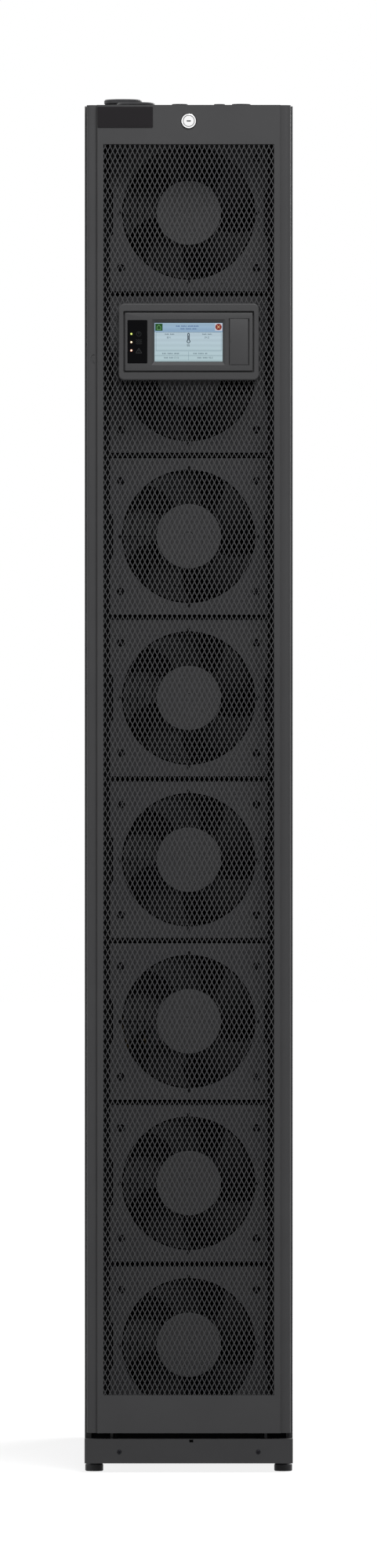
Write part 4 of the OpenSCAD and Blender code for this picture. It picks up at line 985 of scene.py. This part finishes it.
class COOLING_OT_display_screen(bpy.types.Operator):
    """Colour screen with its layout, and the lamp window with three status lamps"""
    bl_idname = "cooling.display_screen"
    bl_label = "Screen and lamps"

    def execute(self, context):
        settings = context.scene.cooling_display
        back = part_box("display_screen")[1][1]
        # three layers: symbols and words in front, lines and tiles, and the lit sheets
        top = FACE_LOW[1] + (SCREEN_SINK - 0.4) * MM
        base_y, mid_y = top + 0.45 * MM, top + 0.25 * MM

        def part(name, material, fill, slot="screen_glass", node="display_screen"):
            return finish_piece(piece_from_bmesh(name, solid(fill), material), "front_door", slot, node)

        part("screen_back", "window", lambda bm: (
            soft_plate(bm, 102.2 * MM, 63.9 * MM, 1.3 * MM, base_y + 0.1 * MM, base_y + 3 * MM, 0.2 * MM,
                       (DISPLAY_X, DISPLAY_Z)),
            upright_bar(bm, (-48, -30), (48, 30), base_y + 3.1 * MM, back)))
        glow = settings.screen_strength
        body_light = backlight("screen_body_light", "B7CAD5", "AFC6CB", -28.5 * MM + DISPLAY_Z,
                               14 * MM + DISPLAY_Z, glow)
        head_light = backlight("screen_header_light", settings.screen_header, settings.screen_header_low,
                               14 * MM + DISPLAY_Z, 27.5 * MM + DISPLAY_Z, glow)
        lit = {name: lit_surface(f"screen_{name}", colour, glow) for name, colour in (
            ("line_light", "627E8B"), ("ink", "5F717C"), ("dark_ink", "122234"), ("header_ink", "506A96"),
            ("green", "174A1B"), ("light_green", "6FA267"), ("red", "7F2A1E"), ("pale_tile", "C7C3CC"),
            ("cream", "DDB489"))}

        def area(low, high):
            return lambda bm: upright_bar(bm, low, high, base_y - 0.1 * MM, base_y + 0.2 * MM)

        part("screen_body", body_light, area((-49.3, -28.4), (48.7, 13.9)))
        part("screen_header", head_light, area((-49.3, 14.1), (48.7, 27.2)))

        def frames(bm):
            low, high = (-47.0, -12.8), (46.8, 13.2)
            stroke(bm, [low, (high[0], low[1]), high, (low[0], high[1]), low], 0.34, mid_y, base_y)
            for z in (-19.9, -26.8):
                stroke(bm, [(-48.8, z), (48.2, z)], 0.22, mid_y, base_y)
            stroke(bm, [(-0.3, -14.2), (-0.3, -26.6)], 0.3, mid_y, base_y)

        part("screen_lines", lit["line_light"], frames)
        part("screen_home_tile", lit["green"],
             lambda bm: upright_bar(bm, (-48.2, 15.9), (-37.7, 26.2), mid_y, base_y))
        house = [(-45.6, 17.6), (-45.6, 21.6), (-42.95, 24.3), (-40.3, 21.6), (-40.3, 17.6), (-45.6, 17.6)]
        part("screen_house", lit["light_green"], lambda bm: stroke(bm, house, 0.6, top, mid_y))
        part("screen_alarm_tile", lit["pale_tile"],
             lambda bm: upright_bar(bm, (37.9, 16.0), (48.1, 26.4), mid_y, base_y))
        part("screen_alarm_disc", lit["red"],
             lambda bm: flat_shape(bm, disc_points((42.9, 21.4), 4.6), top + 0.12 * MM, mid_y))

        def cross(bm):
            for points in (((41.2, 23.1), (44.6, 19.7)), ((41.2, 19.7), (44.6, 23.1))):
                stroke(bm, points, 0.75, top, top + 0.2 * MM)

        part("screen_cross", lit["cream"], cross)

        def dashes(bm, left, right, base, height=1.7):
            """A row of short marks that stands for a line of text."""
            x, k = left, 0
            while x < right - 0.4:
                length = (1.0, 0.5, 1.2, 0.8, 0.5, 1.1)[k % 6]
                if k % 7 != 5:
                    upright_bar(bm, (x, base), (min(x + length, right),
                                                base + height * (1.0, 0.7, 0.85)[k % 3]),
                                top + 0.05 * MM, mid_y)
                x += length + 0.42
                k += 1

        def header_words(bm):
            dashes(bm, -18.2, 16.6, 21.6, 2.0)
            dashes(bm, -11.6, 11.4, 17.8, 2.0)

        part("screen_header_words", lit["header_ink"], header_words)

        def words(bm):
            for left, right, base in ((-34.2, -20.4, 10.2), (19.8, 33.3, 10.2), (-38.0, -14.0, -17.6),
                                      (6.5, 27.0, -17.6), (-35.4, -22.0, -23.8), (12.7, 27.0, -23.8)):
                dashes(bm, left, right, base)
            for text, left, base, height in (("18.4", -32.5, 5.0, 2.4), ("24.0", 23.0, 5.0, 2.4),
                                             ("21.5", -20.4, -24.0, 2.2), ("45.2", 28.6, -24.0, 2.2)):
                number_into(bm, text, left, base, height, top + 0.05 * MM, mid_y)

        part("screen_words", lit["ink"], words)

        def symbols(bm):
            # thermometer between the two readings
            y0 = top + 0.05 * MM
            bulb = arc(2.1, 118, 304, 24, (-0.3, 0.6))
            stroke(bm, bulb + [(0.8, 11.3), (0.2, 12.2), (-0.8, 12.2), (-1.4, 11.3), bulb[0]], 1.0, y0, mid_y)
            stroke(bm, [(-0.3, 3.0), (-0.3, 8.8)], 0.6, y0, mid_y)
            number_into(bm, "55", -2.3, -6.4, 2.6, y0, mid_y)

        part("screen_symbols", lit["dark_ink"], symbols)
        # lamp window; lamp_x is its middle in millimetres from the display's centre
        low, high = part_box("led_window")
        pane_front = low[1] + 0.3 * MM
        pane_x = (low[0] + high[0]) / 2
        lamp_x = (pane_x - DISPLAY_X) / MM

        part("lamp_window", "window", lambda bm: soft_plate(
            bm, high[0] - low[0], high[2] - low[2], 0.9 * MM, pane_front, high[1], 0.3 * MM,
            (pane_x, DISPLAY_Z)), "window_black", "led_window")

        def icons(bm):
            y0, y1 = pane_front - 0.08 * MM, pane_front + 0.1 * MM
            x = lamp_x + 2.0
            stroke(bm, arc(3.3, 0, 360, 28, (x, 11.2)), 0.7, y0, y1)
            stroke(bm, [(x, 14.0), (x, 11.0)], 0.8, y0, y1)
            for k in (-1, 0, 1):
                wave = [(x - 4 + 0.8 * j, -0.2 + 2.6 * k + 0.75 * math.sin(math.radians(90 * j)))
                        for j in range(11)]
                stroke(bm, wave, 0.62, y0, y1)
            stroke(bm, [(x - 4.2, -16.2), (x + 4.2, -16.2), (x, -9.4), (x - 4.2, -16.2)], 0.75, y0, y1)
            stroke(bm, [(x, -11.6), (x, -14.0)], 0.7, y0, y1)
            flat_shape(bm, disc_points((x, -15.0), 0.42, 12), y0, y1)

        # painted light: the printed lamp icons glow faintly instead of being lit by the lamps
        part("lamp_icons", lit_surface("lamp_icon_ink", "66696B", 0.12), icons, "window_black", "led_window")
        strength = settings.led_strength
        for k, core, ring in ((1, "DDEB7A", "55701A"), (0, "FFF0CF", "8A5A22"), (-1, "FFE0C4", "A8341C")):
            place = (lamp_x - 8.7, -0.6 + 11.9 * k)
            for name, colour, glow, dome in (
                    ("core", core, strength, ((1.25, 0.4), (1.25, -0.16), (0.8, -0.26), (0.3, -0.29))),
                    ("ring", ring, 0.6,
                     ((1.85, 0.4), (1.85, -0.04), (1.6, -0.12), (1.3, -0.12), (1.3, 0.38)))):
                bm = solid(loft_into, stacked([(pane_front + y * MM, disc_points(place, r)) for r, y in dome],
                                              (DISPLAY_X, DISPLAY_Z)))
                shine = lit_surface(f"lamp_{name}_{2 - k}", colour, glow)
                lamp = piece_from_bmesh(f"status_lamp_{name}_{2 - k}", bm, shine, 50)
                finish_piece(lamp, "front_door", "window_black", "led_window")
        return {"FINISHED"}


# ---- Rear door and screws ----
REAR_LOW, REAR_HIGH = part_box("rear_door")


class COOLING_OT_rear_door(bpy.types.Operator):
    """Rear door with a fine perforated field, hinge blocks and a latch boss"""
    bl_idname = "cooling.rear_door"
    bl_label = "Rear door"

    def execute(self, context):
        sizes = context.scene.cooling_door
        latch_x, _, latch_z = joint_place("rear_latch_turn")
        width, height = REAR_HIGH[0] - REAR_LOW[0], REAR_HIGH[2] - REAR_LOW[2]
        centre = (0.0, (REAR_LOW[2] + REAR_HIGH[2]) / 2)
        back, face = REAR_LOW[1], REAR_HIGH[1]
        field = latch_x - 16 * MM
        bottom, top = REAR_LOW[2] + 60 * MM, REAR_HIGH[2] - 60 * MM
        # a pan with a rolled front edge and a folded lip behind
        outer = [rounded_loop(width, height, 3 * MM, back, centre)]
        for inset, step in rolled_edge(3 * MM, 4):
            outer.append(rounded_loop(width - 2 * inset, height - 2 * inset, 3 * MM - inset * 0.9,
                                      face - step, centre))
        inner = [rounded_loop(width - shrink * MM, height - shrink * MM, corner * MM, y, centre)
                 for shrink, corner, y in ((8, 1, face - SHEET), (3, 1.6, face - 4 * MM),
                                           (3, 1.6, back + SHEET), (24, 1.6, back + SHEET), (24, 1.6, back))]
        bm = bmesh.new()
        rows = [[bm.verts.new(p) for p in loop] for loop in outer + inner]
        for a, b in zip(rows, rows[1:] + rows[:1]):
            if a is rows[len(outer) - 1]:
                bm.faces.new(a)
                continue
            for k in range(len(a)):
                n = (k + 1) % len(a)
                bm.faces.new((a[k], a[n], b[n], b[k]))
        bm.faces.new(rows[len(outer)])
        shell = piece_from_bmesh("rear_door_shell", bm, "door_coat", 30)
        middle = (0, (bottom + top) / 2)
        carve(shell, solid(loft_into, [rounded_loop(2 * field, top - bottom, 4 * MM, y, middle)
                                       for y in (face - 3 * MM, face + 2 * MM)]))
        blocks = bmesh.new()
        hinge_y = face - 11.5 * MM
        for z in (REAR_LOW[2] + SHEET, REAR_HIGH[2] - 20 * MM):
            box_into(blocks, (REAR_LOW[0] + SHEET, hinge_y - 7 * MM, z),
                     (REAR_LOW[0] + 14 * MM, face - SHEET, z + 18.5 * MM))
        hinge = bevelled(piece_from_bmesh("rear_hinge_blocks", blocks, "zinc"), 0.6 * MM)
        boss = solid(lathe_into, turned([(13, -1.5), (13, -8), (6.2, -8), (6.2, -1.5)], face),
                     (latch_x, 0, latch_z), steps=40, ring=True)
        boss_ring = piece_from_bmesh("rear_latch_boss", boss, "zinc", 40)
        thickness = 1.2 * MM
        cell = sheet_tile("rear_cell", sizes.column_pitch, sizes.row_pitch, sizes.hole_width,
                          sizes.hole_height, thickness)
        tree = perforation_tree()
        columns = int(2 * field / sizes.column_pitch) + 2
        pairs = int((top - bottom) / (2 * sizes.row_pitch)) + 2
        first_x = -(columns - 1.5) / 2 * sizes.column_pitch
        start = (bottom + top) / 2 - (pairs - 0.5) * sizes.row_pitch
        lower = pairs // 2
        for name, z, count in (("rear_mesh_lower", start, lower),
                               ("rear_mesh_upper", start + 2 * lower * sizes.row_pitch, pairs - lower)):
            # the window is set far above the door, so no cell is left out
            piece = perforated_piece(name, tree, {
                "Cell": cell, "Columns": columns, "Row pairs": count, "Column pitch": sizes.column_pitch,
                "Row pitch": sizes.row_pitch, "First cell": (first_x, face - SHEET - 0.1 * MM - thickness, z),
                "Window centre": (0.0, 0.0, 9.0), "Window half width": 1 * MM, "Window half height": 1 * MM,
                "Material": MATERIALS["mesh_coat"]})
            finish_piece(piece, "rear_door", "rear_paint", "rear_door")
        bpy.data.objects.remove(cell)
        for piece in (shell, hinge, boss_ring):
            finish_piece(piece, "rear_door", "rear_paint", "rear_door")
        return {"FINISHED"}


class COOLING_OT_rear_latch(bpy.types.Operator):
    """Cast lever with a key barrel, its shaft and the cam arm behind the door"""
    bl_idname = "cooling.rear_latch"
    bl_label = "Rear latch"

    def execute(self, context):
        low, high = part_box("rear_latch")
        x, _, z = joint_place("rear_latch_turn")
        face, out = REAR_HIGH[1], high[1] - 0.5 * MM
        reach = (z - low[2]) / MM - 9

        def lever(inset):
            """Outline of the lever: a round head and a round tip joined by straight tapering sides."""
            lean = math.degrees(math.asin(3 / (reach + 1)))
            return (arc(11 - inset, -lean, 180 + 2 * lean, 24)
                    + arc(8 - inset, 180 + lean, 180 - 2 * lean, 16, (0, -reach - 1)))

        handle = solid(loft_into, stacked(
            [(face + 3.2 * MM, lever(1.2)), (face + 3.9 * MM, lever(0.2)), (out - 2.2 * MM, lever(0)),
             (out - 0.9 * MM, lever(0.5)), (out - 0.2 * MM, lever(1.5)), (out, lever(2.6))], (x, z)))
        grip = piece_from_bmesh("latch_lever", handle, "latch_metal", 40)
        carve(grip, solid(lathe_into, turned([(7.6, 0.1), (7.6, -0.6), (5.9, -0.6), (5.9, 0.1)], out),
                          (x, 0, z), steps=40, ring=True))
        barrel = turned([(5.6, -1), (5.6, 0.1)], out) + turned([(5.2, 0), (0.5, 0)], high[1])
        key = piece_from_bmesh("latch_key_barrel", solid(lathe_into, barrel, (x, 0, z), steps=40),
                               "chrome", 40)
        carve(key, solid(box_into, (x - 0.6 * MM, out - 0.3 * MM, z - 3.2 * MM),
                         (x + 0.6 * MM, high[1] + 1 * MM, z + 3.2 * MM)))
        spindle = [(6 * MM, low[1] + 1 * MM)]
        spindle += turned([(6, 0.2), (10.9, 0.2), (10.9, 2.6), (10.2, 3.3), (7, 3.3)], face)
        shaft = piece_from_bmesh("latch_spindle", solid(lathe_into, spindle, (x, 0, z), steps=40), "zinc", 40)
        outline = arc(8, 130, 280, 20) + [(5, 15.5), (3.5, 17), (-3.5, 17), (-5, 15.5)]
        arm = solid(loft_into, stacked([(y, outline) for y in (low[1], low[1] + 3 * MM)], (x, z)))
        cam = bevelled(piece_from_bmesh("latch_cam_arm", arm, "zinc"), 0.3 * MM)
        for piece in (grip, key, shaft, cam):
            finish_piece(piece, "rear_latch", "latch_metal", "rear_latch")
        return {"FINISHED"}


def screw_tree():
    """Geometry Nodes that set one screw head on each point of a place list."""
    tree = bpy.data.node_groups.new("screw_heads", "GeometryNodeTree")
    for name, kind in (("Geometry", "NodeSocketGeometry"), ("Screw", "NodeSocketObject"),
                       ("Scale", "NodeSocketFloat"), ("Rotation", "NodeSocketVector"),
                       ("Material", "NodeSocketMaterial")):
        tree.interface.new_socket(name, in_out="INPUT", socket_type=kind)
    tree.interface.new_socket("Geometry", in_out="OUTPUT", socket_type="NodeSocketGeometry")
    source = tree.nodes.new("NodeGroupInput").outputs
    head = add_node(tree, "GeometryNodeObjectInfo", Object=source["Screw"])
    heads = add_node(tree, "GeometryNodeInstanceOnPoints", Points=source["Geometry"],
                     Instance=head.outputs["Geometry"], Rotation=source["Rotation"], Scale=source["Scale"])
    real = add_node(tree, "GeometryNodeRealizeInstances", Geometry=heads.outputs[0])
    painted = add_node(tree, "GeometryNodeSetMaterial", Geometry=real.outputs[0], Material=source["Material"])
    add_node(tree, "NodeGroupOutput", Geometry=painted.outputs[0])
    return tree


def screw_places():
    """Places of the CAD screws' heads, grouped by radius and by whether they face the front or the top."""
    bm = bmesh.new()
    bm.from_mesh(frame["nodes"]["screws"].data)
    groups, seen = {}, set()
    for seed in bm.verts:
        if seed in seen:
            continue
        stack, island = [seed], []
        seen.add(seed)
        while stack:
            v = stack.pop()
            island.append(v.co.copy())
            for edge in v.link_edges:
                other = edge.other_vert(v)
                if other not in seen:
                    seen.add(other)
                    stack.append(other)
        low = [min(p[k] for p in island) for k in range(3)]
        high = [max(p[k] for p in island) for k in range(3)]
        radius = (high[0] - low[0]) / 2
        x, y, z = [(a + b) / 2 for a, b in zip(low, high)]
        deep, tall = high[1] - low[1], high[2] - low[2]
        if deep < tall or abs(tall - 2 * radius) < 0.2 * MM:
            facing, place = "front", (x, low[1], z)
        else:
            facing, place = "top", (x, y, high[2])
        groups.setdefault((round(radius, 5), facing), []).append(place)
    bm.free()
    return groups


class COOLING_OT_screws(bpy.types.Operator):
    """Pan-head screws with a six-sided drive"""
    bl_idname = "cooling.screws"
    bl_label = "Screws"

    def execute(self, context):
        # radii and depths count in head radii
        profile = [(0.5, 5.6), (0.5, 2.0), (1.0, 2.0), (1.0, 1.2), (0.93, 0.62), (0.78, 0.22), (0.55, 0.03),
                   (0.42, 0.0)]
        steps = 24
        loops = [[Vector((x, y, z)) for x, z in arc(r, 0, 360, steps)[:-1]] for r, y in profile]
        for depth in (0.02, 1.1):
            # six-sided socket with a flat-to-middle distance of 0.36
            angles = [360 * k / steps for k in range(steps)]
            corners = [polar(0.36 / math.cos(math.radians(abs((a + 30) % 60 - 30))), a) for a in angles]
            loops.append([Vector((x, depth, z)) for x, z in corners])
        master = piece_from_bmesh("screw_master", solid(loft_into, loops), "screw_steel", 40)
        tree = screw_tree()
        for (radius, facing), places in sorted(screw_places().items()):
            mesh = bpy.data.meshes.new("screw_points")
            mesh.from_pydata(places, [], [])
            obj = bpy.data.objects.new(f"screws_{facing}_{round(radius * 10000)}", mesh)
            context.scene.collection.objects.link(obj)
            modifier = obj.modifiers.new("heads", "NODES")
            modifier.node_group = tree
            values = {"Screw": master, "Scale": radius, "Material": MATERIALS["screw_steel"],
                      "Rotation": (0.0, 0.0, 0.0) if facing == "front" else (-math.pi / 2, 0.0, 0.0)}
            for item in tree.interface.items_tree:
                if item.in_out == "INPUT" and item.name in values:
                    modifier[item.identifier] = values[item.name]
            applied(obj)
            finish_piece(obj, "cabinet", "screw_black", "screws")
        bpy.data.objects.remove(master)
        return {"FINISHED"}


# ---- Stage ----
class COOLING_OT_stage(bpy.types.Operator):
    """Pale floor and backdrop, soft lamps and the camera"""
    bl_idname = "cooling.stage"
    bl_label = "Stage"

    def execute(self, context):
        settings = context.scene.cooling_stage
        scene = context.scene
        floor_mesh = bpy.data.meshes.new("floor")
        floor_mesh.from_pydata([(-40, -40, 0), (40, -40, 0), (40, 40, 0), (-40, 40, 0)], [], [(0, 1, 2, 3)])
        floor = bpy.data.objects.new("floor", floor_mesh)
        scene.collection.objects.link(floor)
        floor_mesh.materials.append(white_where_seen("studio_floor", "A8A8A9", 0.86))
        world = bpy.data.worlds.new("studio")
        scene.world = world
        world.use_nodes = True
        tree = world.node_tree
        tree.nodes.clear()
        ambient = add_node(tree, "ShaderNodeBackground", Color=linear("E6E8EC"), Strength=0.11)
        white = add_node(tree, "ShaderNodeBackground", Color=(1, 1, 1, 1), Strength=1.0)
        mix = add_node(tree, "ShaderNodeMixShader", i0=seen_directly(tree), i1=ambient.outputs[0],
                       i2=white.outputs[0])
        add_node(tree, "ShaderNodeOutputWorld", Surface=mix.outputs[0])
        for name, place, aim, size, power in (("key", (1.2, -4.2, 5.6), (0, 0, 1.7), 2.8, settings.key_power),
                                              ("fill", (-4.6, -4.0, 2.4), (0, 0, 1.0), 3.6,
                                               settings.fill_power),
                                              ("rear", (2.4, 4.6, 3.6), (0, 0, 1.0), 3.0,
                                               settings.rear_power)):
            data = bpy.data.lights.new(name, "AREA")
            data.shape = "DISK"
            data.size = size
            data.energy = power
            lamp = bpy.data.objects.new(name, data)
            lamp.location = place
            lamp.rotation_euler = (Vector(aim) - Vector(place)).to_track_quat("-Z", "Y").to_euler()
            scene.collection.objects.link(lamp)
        camera_data = bpy.data.cameras.new("camera")
        camera_data.lens = settings.lens
        camera_data.sensor_width = 36.0
        camera_data.clip_end = 120.0
        camera = bpy.data.objects.new("camera", camera_data)
        distance = settings.frame_height * settings.lens / camera_data.sensor_width
        camera.location = (-0.34 * MM, DOOR_LOW[1] - distance, settings.aim_height)
        camera.rotation_euler = (math.pi / 2, 0.0, 0.0)
        scene.collection.objects.link(camera)
        scene.camera = camera
        scene.view_settings.view_transform = "Standard"
        return {"FINISHED"}


def seen_directly(tree):
    """1 for a camera, glossy or transmitted ray, and 0 for light that falls on the object."""
    path = tree.nodes.new("ShaderNodeLightPath")
    first = add_node(tree, "ShaderNodeMath", {"operation": "MAXIMUM"}, i0=path.outputs["Is Camera Ray"],
                     i1=path.outputs["Is Glossy Ray"])
    return add_node(tree, "ShaderNodeMath", {"operation": "MAXIMUM"}, i0=first.outputs[0],
                    i1=path.outputs["Is Transmission Ray"]).outputs[0]


def white_where_seen(name, colour, strength):
    """A pale floor that shows as white to the camera and in reflections, and still catches the shadow."""
    mat = bpy.data.materials.new(name)
    mat.use_nodes = True
    tree = mat.node_tree
    tree.nodes.clear()
    matte = add_node(tree, "ShaderNodeBsdfDiffuse", Color=linear(colour))
    coords = add_node(tree, "ShaderNodeTexCoord")
    reach = add_node(tree, "ShaderNodeVectorMath", {"operation": "LENGTH"}, i0=coords.outputs["Object"])
    # full white from 2.5 m away from the object's middle
    rising = map_range(tree, reach.outputs["Value"], 0.7, 2.5, strength, 1.0)
    glow = add_node(tree, "ShaderNodeEmission", Color=(1, 1, 1, 1), Strength=rising)
    black = add_node(tree, "ShaderNodeEmission", Color=(0, 0, 0, 1), Strength=0.0)
    lift = add_node(tree, "ShaderNodeMixShader", i0=seen_directly(tree), i1=black.outputs[0],
                    i2=glow.outputs[0])
    both = add_node(tree, "ShaderNodeAddShader", i0=matte.outputs[0], i1=lift.outputs[0])
    add_node(tree, "ShaderNodeOutputMaterial", Surface=both.outputs[0])
    return mat


# ---- Add-on ----
OPERATORS = (COOLING_OT_front_door, COOLING_OT_front_mesh, COOLING_OT_motor_caps, COOLING_OT_door_trim,
             COOLING_OT_display_case, COOLING_OT_display_face, COOLING_OT_display_screen,
             COOLING_OT_rear_door, COOLING_OT_rear_latch, COOLING_OT_screws, COOLING_OT_stage)


class COOLING_PT_panel(bpy.types.Panel):
    """Sizes, colours and buttons of the cooling unit"""
    bl_idname = "COOLING_PT_panel"
    bl_label = "Cooling unit"
    bl_space_type = "VIEW_3D"
    bl_region_type = "UI"
    bl_category = "Cooling unit"

    def draw(self, context):
        scene = context.scene
        for group in (scene.cooling_door, scene.cooling_display, scene.cooling_stage):
            box = self.layout.box()
            for name in group.__annotations__:
                box.prop(group, name)
        for operator in OPERATORS:
            self.layout.operator(operator.bl_idname)


GROUPS = (("cooling_door", CoolingDoorSettings), ("cooling_display", CoolingDisplaySettings),
          ("cooling_stage", CoolingStageSettings))


def register():
    for name, group in GROUPS:
        bpy.utils.register_class(group)
        setattr(bpy.types.Scene, name, PointerProperty(type=group))
    for cls in OPERATORS + (COOLING_PT_panel,):
        bpy.utils.register_class(cls)


def unregister():
    for cls in reversed(OPERATORS + (COOLING_PT_panel,)):
        bpy.utils.unregister_class(cls)
    for name, group in reversed(GROUPS):
        delattr(bpy.types.Scene, name)
        bpy.utils.unregister_class(group)


def main():
    """Makes every piece and the stage."""
    register()
    make_materials()
    finish_cad_nodes()
    bpy.ops.cooling.front_door()
    bpy.ops.cooling.front_mesh()
    bpy.ops.cooling.motor_caps()
    bpy.ops.cooling.door_trim()
    bpy.ops.cooling.display_case()
    bpy.ops.cooling.display_face()
    bpy.ops.cooling.display_screen()
    bpy.ops.cooling.rear_door()
    bpy.ops.cooling.rear_latch()
    bpy.ops.cooling.screws()
    bpy.ops.cooling.stage()


if __name__ == "__main__":
    main()
